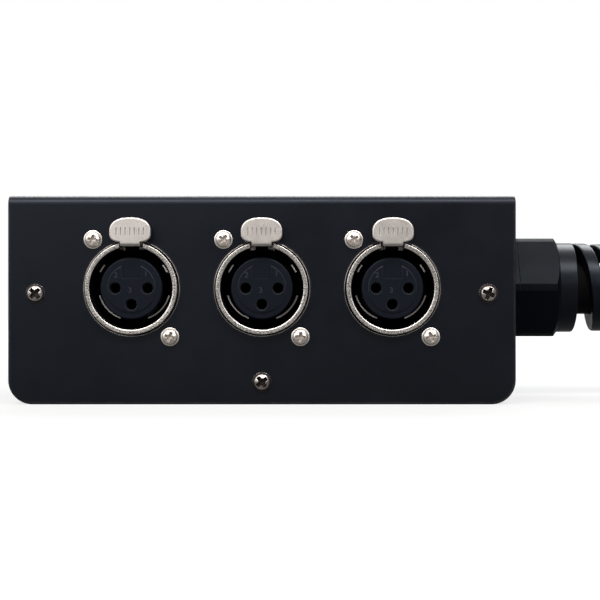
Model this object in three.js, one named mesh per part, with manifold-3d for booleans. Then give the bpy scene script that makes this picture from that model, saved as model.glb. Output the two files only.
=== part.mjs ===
import * as THREE from 'three';
import { mergeVertices } from 'three/addons/utils/BufferGeometryUtils.js';
import Module from 'manifold-3d';

const wasm = await Module();
wasm.setup();

// Millimetres, +X right, +Y to the back, +Z up. The origin is the middle of the box's underside.

// Box: a bent cover (front, top, back) over a bent base tray (bottom, two ends)
const boxWidth = 125.5;
const boxDepth = 84;
const boxHeight = 51.6;
const sheetThickness = 1.5;
const bendRadius = 2.2;
const cornerRadius = 6;
const topCornerRadius = 1;
const sheetGap = 0.3;
const endInset = 0.3;
const lipFlangeGap = 2.2;
const lipCornerRelief = 3;
const sideLipTopGap = 3;

// Screws that hold the cover to the tray
const coverScrewLipShare = 0.627;
const coverScrewHeightShare = 0.531;
const coverScrewLowShare = 0.509;
const coverScrewHeadRadius = 2.5;
const coverScrewHeadHeight = 1.7;
const coverScrewShankRadius = 1.35;
const coverScrewLength = 7;

// Three panel sockets in a row
const jackCount = 3;
const jackPitchShare = 0.2566;
const jackHeightShare = 0.5562;

// Socket frame: a flange behind the panel, a ring through it and a barrel at the back
const flangeWidth = 26;
const flangeHeight = 31;
const flangeThickness = 2;
const flangeCornerRadius = 3;
const ringRadius = 11.4;
const ringProud = 1.8;
const ringChamfer = 0.55;
const barrelRadius = 11.6;
const barrelDepth = 22;
const socketBoreRadius = 10.05;
const socketDepth = 16;
const webThickness = 2;
const panelHoleGap = 0.6;

// Contact carrier and its contacts
const carrierRadius = 7.7;
const carrierSetBack = 0.9;
const carrierShoulderRadius = 9.6;
const carrierShoulderDepth = 5.5;
const carrierGap = 0.3;
const carrierEdgeRadius = 0.5;
const discRadius = 6;
const discProud = 0.25;
const keySlotWidth = 4.6;
const keySlotLow = 2.35;
const keySlotDepth = 0.6;
const contactCircleRadius = 4;
const contactAngles = [0, 180, 270];
const contactMouthRadius = 1.375;
const contactLipThickness = 1.7;
const contactCavityRadius = 1.85;
const contactRadius = 1.6;
const contactBoreRadius = 1.2;
const contactGripDepth = 14;
const contactBodyDepth = 21.5;
const solderCupRadius = 1.15;
const solderCupBoreRadius = 0.8;
const solderCupDepth = 4.5;
const solderCupLength = 7;

// Ground spring: a ring at the bottom of the socket with two curved tongues
const tongueRootRadius = 8.9;
const tongueTipRadius = 8.2;
const tongueThickness = 0.5;
const tongueFrontDepth = 6.5;
const groundRingWidth = 1.3;
const groundRingThickness = 0.6;
const tongueAngle = 191.5;
const tongueSpan = 53.5;

// Latch: press tab, neck, arm, tooth and tail on a cross pin
const tabWidth = 10.2;
const tabLow = 11.15;
const tabHigh = 17.3;
const tabThickness = 1.4;
const tabProud = 3.8;
const tabCornerRadius = 2.4;
const tabTopRise = 1;
const neckWidth = 4.9;
const armThickness = 1.2;
const armClearance = 0.2;
const latchSlotWidth = 5.9;
const latchSlotTop = 13.4;
const latchPinDepth = 6;
const latchPinHeight = 12.3;
const latchPinRadius = 0.75;
const latchBossRadius = 1.3;
const latchPinGap = 0.2;
const pinSeatGap = 0.05;
const toothWidth = 3.2;
const toothReach = 1;
const toothFront = 1.2;
const toothBack = 3;
const toothRamp = 1.6;
const tailLength = 3.2;
const tailThickness = 1;
const latchCheekThickness = 1.6;
const latchCheekTop = 14.2;
const latchHousingDepth = 13.5;
const springPocketHeight = 0.85;
const springPocketWidth = 4.6;
const springPocketLow = 11.75;
const leafThickness = 0.25;
const leafWidth = 3.8;
const leafTipGap = 0.3;

// Screws that hold each socket from the front, in two opposite corners of its flange
const jackScrewInset = 3.5;
const jackScrewHeadRadius = 2.3;
const jackScrewHeadHeight = 1.5;
const jackScrewShankRadius = 1.35;
const jackScrewLength = 7.5;
const screwHoleGap = 0.3;
const recessWidth = 0.75;
const recessDepth = 0.9;
const recessReachShare = 0.62;
const headCrownShare = 0.7;
const headEdgeShare = 0.5;

// Cable gland on the right end
const glandHeightShare = 0.566;
const glandThreadRadius = 11.1;
const glandHoleGap = 0.3;
const glandThreadInside = 8.5;
const glandNeckRadius = 10.2;
const glandNeckLength = 4.4;
const glandBoreRadius = 7.6;
const glandAcrossFlats = 26.4;
const glandWasherRadius = 13;
const glandWasherThickness = 1;
const glandHexLength = 4.3;
const glandCornerRadius = 15;
const lockNutLength = 5;
const hexChamfer = 0.4;
const hexChamferAngle = 34;
const threadChamfer = 0.7;
const nutGap = 0.3;
const nutHexLength = 10.8;
const nutWall = 2.6;
const collarRadius = 12.15;
const collarLength = 4.8;
const guardBoreRadius = 7.6;
const guardEndRadius = 10.6;
const guardPitch = 5.2;
const guardSlotPower = 0.65;
const guardBandWidth = 3.5;
const guardTurns = 7;
const guardRootAngle = 112;
const guardRootDepth = 0.9;
const guardEndRingLength = 3;
const guardEdgeChamfer = 0.5;
const sleeveRadius = 7.2;
const sleeveBoreRadius = 5.6;
const sleeveReach = 6;
const cageRadius = 9.6;
const cageLength = 5.2;
const cageFingers = 8;
const cageSlotWidth = 1.6;
const cageSolidShare = 0.3;

// One overrun for every cut, and the counts of sides on round work
const overrun = 0.5;
const mergeTolerance = 1e-5;
const roundSides = 24;
const glandSides = 28;
const smallSides = 12;
const tinySides = 8;
const bendSides = 3;
const cornerSides = 6;
const pinCurveSteps = 4;
const tongueSteps = 6;
const guardStepsPerTurn = 16;

const steelBlack = new THREE.MeshStandardMaterial({ color: 0x1c1d21, roughness: 0.5, metalness: 0.3 });
const nickel = new THREE.MeshStandardMaterial({ color: 0xcfcac4, roughness: 0.3, metalness: 1 });
const darkNickel = new THREE.MeshStandardMaterial({ color: 0x8d8883, roughness: 0.35, metalness: 1 });
const carrierPlastic = new THREE.MeshStandardMaterial({ color: 0x1b2028, roughness: 0.5, metalness: 0 });
const contactMetal = new THREE.MeshStandardMaterial({ color: 0xc9a25a, roughness: 0.3, metalness: 1 });
const glandNylon = new THREE.MeshStandardMaterial({ color: 0x15171b, roughness: 0.45, metalness: 0 });
const sealRubber = new THREE.MeshStandardMaterial({ color: 0x0c0c0d, roughness: 0.8, metalness: 0 });

// Turns a closed three.js geometry into a solid that can be cut and joined
function solid(geometry) {
  const bare = geometry.clone();
  for (const name of Object.keys(bare.attributes)) if (name !== 'position') bare.deleteAttribute(name);
  const merged = mergeVertices(bare.index ? bare.toNonIndexed() : bare, mergeTolerance);
  const corners = [];
  const index = merged.index.array;
  for (let i = 0; i < index.length; i += 3) {
    const [a, b, c] = [index[i], index[i + 1], index[i + 2]];
    if (a !== b && b !== c && c !== a) corners.push(a, b, c);
  }
  return new wasm.Manifold(new wasm.Mesh({
    numProp: 3,
    vertProperties: Float32Array.from(merged.attributes.position.array),
    triVerts: Uint32Array.from(corners),
  }));
}

function part(name, body, material) {
  const mesh = body.getMesh();
  const geometry = new THREE.BufferGeometry();
  geometry.setAttribute('position', new THREE.BufferAttribute(Float32Array.from(mesh.vertProperties), 3));
  geometry.setIndex(Array.from(mesh.triVerts));
  geometry.computeVertexNormals();
  const piece = new THREE.Mesh(geometry, material);
  piece.name = name;
  return piece;
}

const degrees = (angle) => THREE.MathUtils.degToRad(angle);

// Prisms of an outline: drawn in XZ and run along Y, drawn in YZ and run along X, drawn in XY and run along Z
function extrude(outline, length, sides) {
  return new THREE.ExtrudeGeometry(outline, { depth: length, bevelEnabled: false, curveSegments: sides });
}

function prismAlongY(outline, front, back, sides = bendSides) {
  return solid(extrude(outline, back - front, sides).rotateX(Math.PI / 2).translate(0, back, 0));
}

function prismAlongX(outline, left, right, sides = bendSides) {
  const geometry = extrude(outline, right - left, sides);
  geometry.applyMatrix4(new THREE.Matrix4().set(0, 0, 1, left, 1, 0, 0, 0, 0, 1, 0, 0, 0, 0, 0, 1));
  return solid(geometry);
}

function block(left, right, front, back, low, high) {
  const geometry = new THREE.BoxGeometry(right - left, back - front, high - low);
  geometry.translate((left + right) / 2, (front + back) / 2, (low + high) / 2);
  return solid(geometry);
}

function polygon(points) {
  return new THREE.Shape(points.map(([u, v]) => new THREE.Vector2(u, v)));
}

// A rectangle whose four corner radii are given anticlockwise from low left
function roundedBox(left, right, low, high, [lowLeft, lowRight, highRight, highLeft]) {
  const outline = new THREE.Shape();
  outline.moveTo(left + lowLeft, low);
  outline.lineTo(right - lowRight, low);
  if (lowRight > 0) outline.absarc(right - lowRight, low + lowRight, lowRight, -Math.PI / 2, 0, false);
  outline.lineTo(right, high - highRight);
  if (highRight > 0) outline.absarc(right - highRight, high - highRight, highRight, 0, Math.PI / 2, false);
  outline.lineTo(left + highLeft, high);
  if (highLeft > 0) outline.absarc(left + highLeft, high - highLeft, highLeft, Math.PI / 2, Math.PI, false);
  outline.lineTo(left, low + lowLeft);
  if (lowLeft > 0) outline.absarc(left + lowLeft, low + lowLeft, lowLeft, Math.PI, Math.PI * 1.5, false);
  return outline;
}

// A turned body about the Y axis. The profile is [radius, y], up the outside and down the bore.
function turned(profile, sides) {
  return solid(new THREE.LatheGeometry(profile.map(([r, y]) => new THREE.Vector2(r, y)), sides));
}

function rod(radius, front, back, sides) {
  return turned([[0, front], [radius, front], [radius, back], [0, back]], sides);
}

function tube(radius, boreRadius, front, back, sides) {
  const corners = [[radius, front], [radius, back], [boreRadius, back], [boreRadius, front], [radius, front]];
  return turned(corners, sides);
}

// A hexagon whose corners are turned down to a radius
function hexagonPrism(acrossFlats, cornerRadius, front, back) {
  const half = acrossFlats / 2;
  const lean = Math.PI / 6 - Math.acos(half / cornerRadius);
  const corners = [];
  for (let i = 0; i < 6; i += 1) {
    for (const side of [-1, 1]) {
      const angle = i * Math.PI / 3 + side * lean;
      corners.push([cornerRadius * Math.cos(angle), cornerRadius * Math.sin(angle)]);
    }
  }
  return prismAlongY(polygon(corners), front, back);
}

// Box sheet work

const frontFace = -boxDepth / 2;
const jackHeight = boxHeight * jackHeightShare;
const jackPitch = boxWidth * jackPitchShare;
const jackPlaces = Array.from({ length: jackCount }, (_, i) => (i - (jackCount - 1) / 2) * jackPitch);
const jackScrewAcross = flangeWidth / 2 - jackScrewInset;
const jackScrewUp = flangeHeight / 2 - jackScrewInset;

// The tray's lips end just short of the sockets' flanges
const trayInside = boxWidth / 2 - endInset - sheetThickness;
const lipEdge = jackPlaces[jackCount - 1] + flangeWidth / 2 + lipFlangeGap;
const bottomLipHeight = jackHeight - flangeHeight / 2 - lipFlangeGap;
const coverScrewAcross = lipEdge + (trayInside - lipEdge) * coverScrewLipShare;
const coverScrewPlaces = [
  ['left', -coverScrewAcross, boxHeight * coverScrewHeightShare],
  ['right', coverScrewAcross, boxHeight * coverScrewHeightShare],
  ['low', 0, bottomLipHeight * coverScrewLowShare],
];

function coverScrewHoles() {
  const hole = rod(coverScrewShankRadius + screwHoleGap, -boxDepth, boxDepth, smallSides);
  return wasm.Manifold.union(coverScrewPlaces.map(([, x, z]) => hole.translate(x, 0, z)));
}

function makeCover() {
  const half = boxDepth / 2;
  const wall = sheetThickness;
  const bendInside = bendRadius - wall;
  const outer = roundedBox(-half, half, 0, boxHeight, [0, 0, bendRadius, bendRadius]);
  const inner = roundedBox(-half + wall, half - wall, -overrun, boxHeight - wall,
    [0, 0, bendInside, bendInside]);
  const edge = roundedBox(-boxWidth / 2, boxWidth / 2, 0, boxHeight,
    [cornerRadius, cornerRadius, topCornerRadius, topCornerRadius]);
  let body = prismAlongX(outer, -boxWidth / 2, boxWidth / 2)
    .subtract(prismAlongX(inner, -boxWidth, boxWidth))
    .intersect(prismAlongY(edge, -boxDepth, boxDepth, cornerSides));
  const front = frontFace - overrun;
  const back = frontFace + wall + overrun;
  const slot = latchSlotWidth / 2;
  for (const x of jackPlaces) {
    const way = rod(ringRadius + panelHoleGap, front, back, roundSides);
    body = body.subtract(way.translate(x, 0, jackHeight));
    body = body.subtract(block(x - slot, x + slot, front, back, jackHeight, jackHeight + latchSlotTop));
    for (const side of [-1, 1]) {
      const hole = rod(jackScrewShankRadius + screwHoleGap, front, back, smallSides);
      body = body.subtract(hole.translate(x + side * jackScrewAcross, 0, jackHeight - side * jackScrewUp));
    }
  }
  body = body.subtract(coverScrewHoles());
  return part('cover', body, steelBlack);
}

function makeTray() {
  const wall = sheetThickness;
  const halfWidth = boxWidth / 2 - endInset;
  const halfDepth = boxDepth / 2 - wall - sheetGap;
  const top = boxHeight - wall - sheetGap;
  const corner = cornerRadius - endInset;
  const bendInside = bendRadius - wall;
  const outer = roundedBox(-halfWidth, halfWidth, 0, top, [corner, corner, 0, 0]);
  const innerCorner = corner - wall;
  const inner = roundedBox(-halfWidth + wall, halfWidth - wall, wall, top + overrun,
    [innerCorner, innerCorner, 0, 0]);
  const plan = roundedBox(-halfWidth, halfWidth, -halfDepth, halfDepth, Array(4).fill(bendRadius));
  const side = roundedBox(-halfDepth, halfDepth, 0, boxHeight, [bendRadius, bendRadius, 0, 0]);
  const room = roundedBox(-halfWidth + wall, halfWidth - wall, -halfDepth + wall, halfDepth - wall,
    Array(4).fill(bendInside));
  let body = prismAlongY(outer, -halfDepth, halfDepth, cornerSides)
    .intersect(solid(extrude(plan, boxHeight, bendSides)))
    .intersect(prismAlongX(side, -boxWidth, boxWidth));
  const hollow = prismAlongY(inner, -boxDepth, boxDepth, cornerSides);
  body = body.subtract(hollow.intersect(solid(extrude(room, boxHeight + overrun, bendSides))));

  // The ends are open but for three lips front and back
  let windows = hollow.subtract(
    block(-boxWidth, boxWidth, -halfDepth + wall, halfDepth - wall, -overrun, boxHeight));
  const sideLow = bottomLipHeight + lipCornerRelief - wall;
  for (const sign of [-1, 1]) {
    const [near, far] = sign < 0 ? [-boxWidth, -lipEdge] : [lipEdge, boxWidth];
    windows = windows.subtract(block(near, far, -boxDepth, boxDepth, sideLow, top - sideLipTopGap));
  }
  windows = windows.subtract(block(-lipEdge, lipEdge, -boxDepth, boxDepth, -overrun, bottomLipHeight));
  body = body.subtract(windows);
  body = body.subtract(coverScrewHoles());
  const glandHole = rod(glandThreadRadius + glandHoleGap, 0, boxWidth, glandSides).rotate([0, 0, -90]);
  body = body.subtract(glandHole.translate(0, 0, boxHeight * glandHeightShare));
  return part('base_tray', body, steelBlack);
}

// Screws, drawn along Y with the head towards -Y and its underside at zero

function crossHeadScrew(name, headRadius, headHeight, shankRadius, length, material) {
  let body = turned([
    [0, -headHeight], [headRadius * headCrownShare, -headHeight], [headRadius, -headHeight * headEdgeShare],
    [headRadius, 0], [shankRadius, 0], [shankRadius, length], [0, length],
  ], smallSides);
  const reach = headRadius * recessReachShare;
  const half = recessWidth / 2;
  const front = -headHeight - overrun;
  const back = -headHeight + recessDepth;
  body = body.subtract(block(-reach, reach, front, back, -half, half));
  body = body.subtract(block(-half, half, front, back, -reach, reach));
  return part(name, body, material);
}

function makeCoverScrews(group) {
  for (const [place, x, z] of coverScrewPlaces) {
    for (const face of ['front', 'back']) {
      const screw = crossHeadScrew(`cover_screw_${face}_${place}`, coverScrewHeadRadius, coverScrewHeadHeight,
        coverScrewShankRadius, coverScrewLength, darkNickel);
      screw.position.set(x, face === 'front' ? frontFace : -frontFace, z);
      if (face === 'back') screw.rotation.z = Math.PI;
      group.add(screw);
    }
  }
}

// Socket pieces, drawn about the socket's axis with the panel's outer face at y = 0

const panelBack = sheetThickness;
const flangeBack = panelBack + flangeThickness;
const webBack = socketDepth + webThickness;

function makeFrame(name) {
  const ring = turned([
    [socketBoreRadius, -ringProud + ringChamfer], [socketBoreRadius + ringChamfer, -ringProud],
    [ringRadius - ringChamfer, -ringProud], [ringRadius, -ringProud + ringChamfer],
    [ringRadius, flangeBack], [barrelRadius, flangeBack], [barrelRadius, barrelDepth],
    [socketBoreRadius, barrelDepth], [socketBoreRadius, webBack], [carrierRadius + carrierGap, webBack],
    [carrierRadius + carrierGap, socketDepth], [socketBoreRadius, socketDepth],
    [socketBoreRadius, -ringProud + ringChamfer],
  ], roundSides);
  const bore = rod(socketBoreRadius + ringChamfer / 2, -ringProud - overrun, flangeBack, roundSides);
  const corners = Array(4).fill(flangeCornerRadius);
  const [across, up] = [flangeWidth / 2, flangeHeight / 2];
  const flangeOutline = roundedBox(-across, across, -up, up, corners);
  let flange = prismAlongY(flangeOutline, panelBack, flangeBack).subtract(bore);
  for (const side of [-1, 1]) {
    const hole = rod(jackScrewShankRadius + screwHoleGap, 0, flangeBack + overrun, smallSides);
    flange = flange.subtract(hole.translate(side * jackScrewAcross, 0, -side * jackScrewUp));
  }

  // Two cheeks for the latch pin, and a block behind them with the leaf's pocket
  const cheek = latchSlotWidth / 2 + latchCheekThickness;
  const housingLow = socketBoreRadius - armThickness;
  const pocketBack = latchHousingDepth - latchCheekThickness / 2;
  let housing = block(-cheek, cheek, flangeBack, latchHousingDepth, housingLow, latchCheekTop);
  housing = housing.subtract(rod(socketBoreRadius + ringChamfer / 2, 0, barrelDepth, roundSides));
  const slotBack = latchPinDepth + tailLength + sheetGap;
  const slot = latchSlotWidth / 2;
  const pocket = springPocketWidth / 2;
  const slotCut = block(-slot, slot, -ringProud - overrun, slotBack, 0, latchSlotTop)
    .subtract(rod(socketBoreRadius - overrun, -boxDepth, boxDepth, roundSides));
  const openTop = block(-slot, slot, flangeBack, slotBack, latchSlotTop - overrun, latchCheekTop + overrun);
  const pocketHigh = springPocketLow + springPocketHeight;
  const pocketCut = block(-pocket, pocket, 0, pocketBack, springPocketLow, pocketHigh);
  const pinSeat = circle(latchPinDepth, latchPinHeight, latchPinRadius + pinSeatGap);
  const pinCut = prismAlongX(pinSeat, -cheek - overrun, cheek + overrun, pinCurveSteps);
  const cuts = wasm.Manifold.union([slotCut, openTop, pocketCut, pinCut]);
  return part(name, ring.add(flange).add(housing).subtract(cuts), nickel);
}

function circle(u, v, radius) {
  const outline = new THREE.Shape();
  outline.absarc(u, v, radius, 0, Math.PI * 2, false);
  return outline;
}

function contactPlace(angle) {
  return [contactCircleRadius * Math.cos(degrees(angle)), contactCircleRadius * Math.sin(degrees(angle))];
}

function makeCarrier(name) {
  const front = -ringProud + carrierSetBack;
  const rim = front + discProud;
  const back = webBack + carrierShoulderDepth;
  let body = turned([
    [0, front], [discRadius, front], [discRadius, rim], [carrierRadius - carrierEdgeRadius, rim],
    [carrierRadius, rim + carrierEdgeRadius], [carrierRadius, webBack], [carrierShoulderRadius, webBack],
    [carrierShoulderRadius, back], [0, back],
  ], roundSides);
  for (const angle of contactAngles) {
    const [x, z] = contactPlace(angle);
    const lipBack = front + contactLipThickness;
    const hole = rod(contactMouthRadius, front - overrun, lipBack + overrun, smallSides)
      .add(rod(contactCavityRadius, lipBack, back + overrun, smallSides));
    body = body.subtract(hole.translate(x, 0, z));
  }
  const slot = keySlotWidth / 2;
  body = body.subtract(block(-slot, slot, front - overrun, front + keySlotDepth, keySlotLow, discRadius));
  return part(name, body, carrierPlastic);
}

function makeContact(name, angle) {
  const front = -ringProud + carrierSetBack + contactLipThickness + carrierGap;
  const end = contactBodyDepth + solderCupLength;
  const body = turned([
    [contactBoreRadius, front], [contactRadius, front], [contactRadius, contactBodyDepth],
    [solderCupRadius, contactBodyDepth], [solderCupRadius, end], [solderCupBoreRadius, end],
    [solderCupBoreRadius, end - solderCupDepth], [0, end - solderCupDepth], [0, contactGripDepth],
    [contactBoreRadius, contactGripDepth], [contactBoreRadius, front],
  ], tinySides);
  const [x, z] = contactPlace(angle);
  return part(name, body.translate(x, 0, z), contactMetal);
}

// One edge of a tongue, which leans in towards the carrier as it goes round
function tongueEdge(offset) {
  return Array.from({ length: tongueSteps + 1 }, (_, i) => {
    const angle = degrees(tongueAngle + tongueSpan * i / tongueSteps);
    const radius = tongueRootRadius + (tongueTipRadius - tongueRootRadius) * i / tongueSteps + offset;
    return [radius * Math.cos(angle), radius * Math.sin(angle)];
  });
}

function makeGroundSpring(name) {
  const back = socketDepth - carrierGap;
  const middle = (tongueRootRadius + tongueTipRadius) / 2;
  const front = back - groundRingThickness;
  const ring = tube(middle + groundRingWidth / 2, middle - groundRingWidth / 2, front, back, roundSides);
  const half = tongueThickness / 2;
  const outline = polygon([...tongueEdge(half), ...tongueEdge(-half).reverse()]);
  const tongue = prismAlongY(outline, tongueFrontDepth, back - groundRingThickness / 2);
  return part(name, ring.add(tongue).add(tongue.mirror([1, 0, 0])), nickel);
}

// The tab's face: straight sides, round corners and a low arch along the top
function tabOutline() {
  const half = tabWidth / 2;
  const r = tabCornerRadius;
  const outline = new THREE.Shape();
  outline.moveTo(-half + r, tabLow);
  outline.lineTo(half - r, tabLow);
  outline.absarc(half - r, tabLow + r, r, -Math.PI / 2, 0, false);
  outline.lineTo(half, tabHigh - tabTopRise - r);
  outline.absarc(half - r, tabHigh - tabTopRise - r, r, 0, Math.PI / 2, false);
  outline.quadraticCurveTo(0, tabHigh + tabTopRise, -half + r, tabHigh - tabTopRise);
  outline.absarc(-half + r, tabHigh - tabTopRise - r, r, Math.PI / 2, Math.PI, false);
  outline.lineTo(-half, tabLow + r);
  outline.absarc(-half + r, tabLow + r, r, Math.PI, Math.PI * 1.5, false);
  return outline;
}

function makeLatch(name) {
  const low = socketBoreRadius + armClearance;
  const high = low + armThickness;
  const front = -tabProud;
  const plateBack = front + tabThickness;
  const half = neckWidth / 2;
  const bossFront = latchPinDepth - latchBossRadius;
  const tooth = polygon([
    [toothFront - toothRamp, low + armThickness / 2], [toothFront, low - toothReach],
    [toothBack, low - toothReach], [toothBack, low + armThickness / 2],
  ]);
  const arm = polygon([
    [front, low], [bossFront, low], [latchPinDepth, latchPinHeight - latchBossRadius],
    [latchPinDepth, latchPinHeight], [bossFront, latchPinHeight], [bossFront - armThickness, high],
    [front, high],
  ]);
  const tail = block(-half, half, latchPinDepth, latchPinDepth + tailLength, latchPinHeight,
    latchPinHeight + tailThickness);
  const boss = prismAlongX(circle(latchPinDepth, latchPinHeight, latchBossRadius), -half, half, bendSides);
  const pinOutline = circle(latchPinDepth, latchPinHeight, latchPinRadius + latchPinGap);
  const pinHole = prismAlongX(pinOutline, -half - overrun, half + overrun, pinCurveSteps);
  const body = prismAlongY(tabOutline(), front, plateBack)
    .add(block(-half, half, front, plateBack, low, tabLow + tabCornerRadius))
    .add(prismAlongX(arm, -half, half))
    .add(prismAlongX(tooth, -toothWidth / 2, toothWidth / 2))
    .add(boss).add(tail)
    .subtract(pinHole);
  return part(name, body, nickel);
}

function makeLatchPin(name) {
  const reach = latchSlotWidth / 2 + latchCheekThickness;
  const outline = circle(latchPinDepth, latchPinHeight, latchPinRadius);
  return part(name, prismAlongX(outline, -reach, reach, pinCurveSteps), darkNickel);
}

// A leaf held in the pocket behind the pin, its tip under the latch's tail
function makeLatchLeaf(name) {
  const rear = latchHousingDepth - latchCheekThickness;
  const low = springPocketLow + (springPocketHeight - leafThickness) / 2;
  const tipTop = latchPinHeight - leafTipGap;
  const tip = latchPinDepth + latchBossRadius + sheetGap;
  const bend = latchPinDepth + tailLength;
  const outline = polygon([
    [tip, tipTop - leafThickness], [bend, low], [rear, low], [rear, low + leafThickness],
    [bend, low + leafThickness], [tip, tipTop],
  ]);
  return part(name, prismAlongX(outline, -leafWidth / 2, leafWidth / 2), darkNickel);
}

function makeJack(number, x) {
  const jack = new THREE.Group();
  const prefix = `socket_${number}`;
  jack.position.set(x, frontFace, jackHeight);
  jack.add(makeFrame(`${prefix}_frame`));
  jack.add(makeCarrier(`${prefix}_contact_carrier`));
  contactAngles.forEach((angle, i) => jack.add(makeContact(`${prefix}_contact_${i + 1}`, angle)));
  jack.add(makeGroundSpring(`${prefix}_ground_spring`));
  jack.add(makeLatch(`${prefix}_latch_tab`));
  jack.add(makeLatchPin(`${prefix}_latch_pin`));
  jack.add(makeLatchLeaf(`${prefix}_latch_leaf`));
  for (const [place, side] of [['upper', -1], ['lower', 1]]) {
    const screw = crossHeadScrew(`${prefix}_screw_${place}`, jackScrewHeadRadius, jackScrewHeadHeight,
      jackScrewShankRadius, jackScrewLength, nickel);
    screw.position.set(side * jackScrewAcross, 0, -side * jackScrewUp);
    jack.add(screw);
  }
  return jack;
}

// Gland pieces, drawn along Y with the end plate's outer face at y = 0 and the cable leaving towards +Y

const bodyHexBack = glandWasherThickness + glandHexLength;
const nutFront = bodyHexBack + nutGap;
const nutHexBack = nutFront + nutHexLength;
const collarBack = nutHexBack + collarLength;
const guardLength = guardPitch * guardTurns + guardBandWidth;

const glandHexagon = (front, back) => hexagonPrism(glandAcrossFlats, glandCornerRadius, front, back);

// A cone that takes the corners off one end of a hexagon
function cornerCone(front, back) {
  const outer = glandCornerRadius + overrun;
  const end = glandAcrossFlats / 2 - hexChamfer;
  const drop = (outer - end) * Math.tan(degrees(hexChamferAngle));
  return turned([[0, front], [outer, front], [outer, back - drop], [end, back], [0, back]], glandSides);
}

function makeGlandWasher() {
  const body = tube(glandWasherRadius, glandThreadRadius + nutGap, 0, glandWasherThickness, glandSides);
  return part('gland_washer', body, sealRubber);
}

function makeGlandBody() {
  const neckEnd = bodyHexBack + glandNeckLength;
  const end = -glandThreadInside;
  const shoulder = glandWasherThickness + overrun;
  const shell = turned([
    [glandBoreRadius, end], [glandThreadRadius - threadChamfer, end],
    [glandThreadRadius, end + threadChamfer], [glandThreadRadius, shoulder], [glandNeckRadius, shoulder],
    [glandNeckRadius, neckEnd], [glandBoreRadius, neckEnd], [glandBoreRadius, end],
  ], glandSides);
  const bore = rod(glandBoreRadius + overrun, -boxWidth, boxWidth, glandSides);
  const hex = glandHexagon(glandWasherThickness, bodyHexBack).subtract(bore);
  return part('gland_body', shell.add(hex), glandNylon);
}

function makeLockNut() {
  const back = -sheetThickness - nutGap;
  const bore = rod(glandThreadRadius + nutGap, -boxWidth, boxWidth, glandSides);
  const hex = glandHexagon(back - lockNutLength, back);
  return part('gland_lock_nut', hex.subtract(bore), glandNylon);
}

function makeGlandCage() {
  const front = bodyHexBack + glandNeckLength + nutGap;
  const back = front + cageLength;
  let body = tube(cageRadius, glandBoreRadius, front, back, glandSides);
  const half = cageSlotWidth / 2;
  for (let i = 0; i < cageFingers / 2; i += 1) {
    const slot = block(-cageRadius - overrun, cageRadius + overrun, front + cageLength * cageSolidShare,
      back + overrun, -half, half);
    body = body.subtract(slot.rotate([0, i * 360 / cageFingers, 0]));
  }
  return part('gland_clamp_cage', body, glandNylon);
}

function makeGlandSleeve() {
  const body = tube(sleeveRadius, sleeveBoreRadius, bodyHexBack, collarBack + sleeveReach, glandSides);
  return part('gland_sealing_sleeve', body, sealRubber);
}

// How far the guard's band has advanced: a full pitch over each front half turn, quickest at its start
function guardAdvance(turn) {
  if (turn <= 0) return 0;
  const whole = Math.floor(turn);
  return guardPitch * (whole + Math.min(1, 2 * (turn - whole)) ** guardSlotPower);
}

function guardOuterRadius(along) {
  return collarRadius + (guardEndRadius - collarRadius) * Math.max(0, along) / guardLength;
}

// The band's sections, from the top round the front to the bottom and back, joined into one closed strip
function guardBand() {
  const first = -guardRootAngle / 360;
  const count = Math.round((guardTurns - first) * guardStepsPerTurn);
  const rings = [];
  for (let i = 0; i <= count; i += 1) {
    const turn = first + (guardTurns - first) * i / count;
    const angle = turn * 2 * Math.PI;
    const left = guardAdvance(turn) - (turn <= 0 ? guardRootDepth : 0);
    const right = guardAdvance(turn) + guardBandWidth;
    const outer = guardOuterRadius(right);
    const c = guardEdgeChamfer;
    const section = [[guardBoreRadius, right], [outer - c, right], [outer, right - c], [outer, left + c],
      [outer - c, left], [guardBoreRadius, left]];
    rings.push(section.map(([r, y]) => [r * Math.sin(angle), y, r * Math.cos(angle)]));
  }
  return stripSolid(rings);
}

function stripSolid(rings) {
  const size = rings[0].length;
  const positions = [];
  const face = (a, b, c) => positions.push(...a, ...b, ...c);
  for (let i = 0; i + 1 < rings.length; i += 1) {
    for (let j = 0; j < size; j += 1) {
      const k = (j + 1) % size;
      face(rings[i][j], rings[i][k], rings[i + 1][k]);
      face(rings[i][j], rings[i + 1][k], rings[i + 1][j]);
    }
  }
  const last = rings.length - 1;
  for (let j = 1; j + 1 < size; j += 1) {
    face(rings[0][0], rings[0][j + 1], rings[0][j]);
    face(rings[last][0], rings[last][j], rings[last][j + 1]);
  }
  const geometry = new THREE.BufferGeometry();
  geometry.setAttribute('position', new THREE.Float32BufferAttribute(positions, 3));
  return solid(geometry);
}

function makeGlandNut() {
  const hex = glandHexagon(nutFront, nutHexBack).intersect(cornerCone(nutFront, nutHexBack));
  const collar = rod(collarRadius, nutHexBack - overrun, collarBack, glandSides);
  const thread = glandAcrossFlats / 2 - nutWall;
  const shoulder = nutHexBack;
  const cavity = turned([
    [0, nutFront - overrun], [thread, nutFront - overrun], [thread, shoulder],
    [guardBoreRadius, shoulder + thread - guardBoreRadius], [guardBoreRadius, collarBack + overrun],
    [0, collarBack + overrun],
  ], glandSides);
  const endLow = guardLength - overrun;
  const endRing = tube(guardEndRadius, guardBoreRadius, endLow, guardLength + guardEndRingLength, glandSides);
  const guard = guardBand().add(endRing).translate(0, collarBack, 0);
  return part('gland_nut_with_bend_guard', hex.add(collar).subtract(cavity).add(guard), glandNylon);
}

function makeGland() {
  const gland = new THREE.Group();
  gland.position.set(boxWidth / 2 - endInset, 0, boxHeight * glandHeightShare);
  gland.rotation.z = -Math.PI / 2;
  gland.add(makeGlandWasher(), makeGlandBody(), makeLockNut());
  gland.add(makeGlandCage(), makeGlandSleeve(), makeGlandNut());
  return gland;
}

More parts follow.
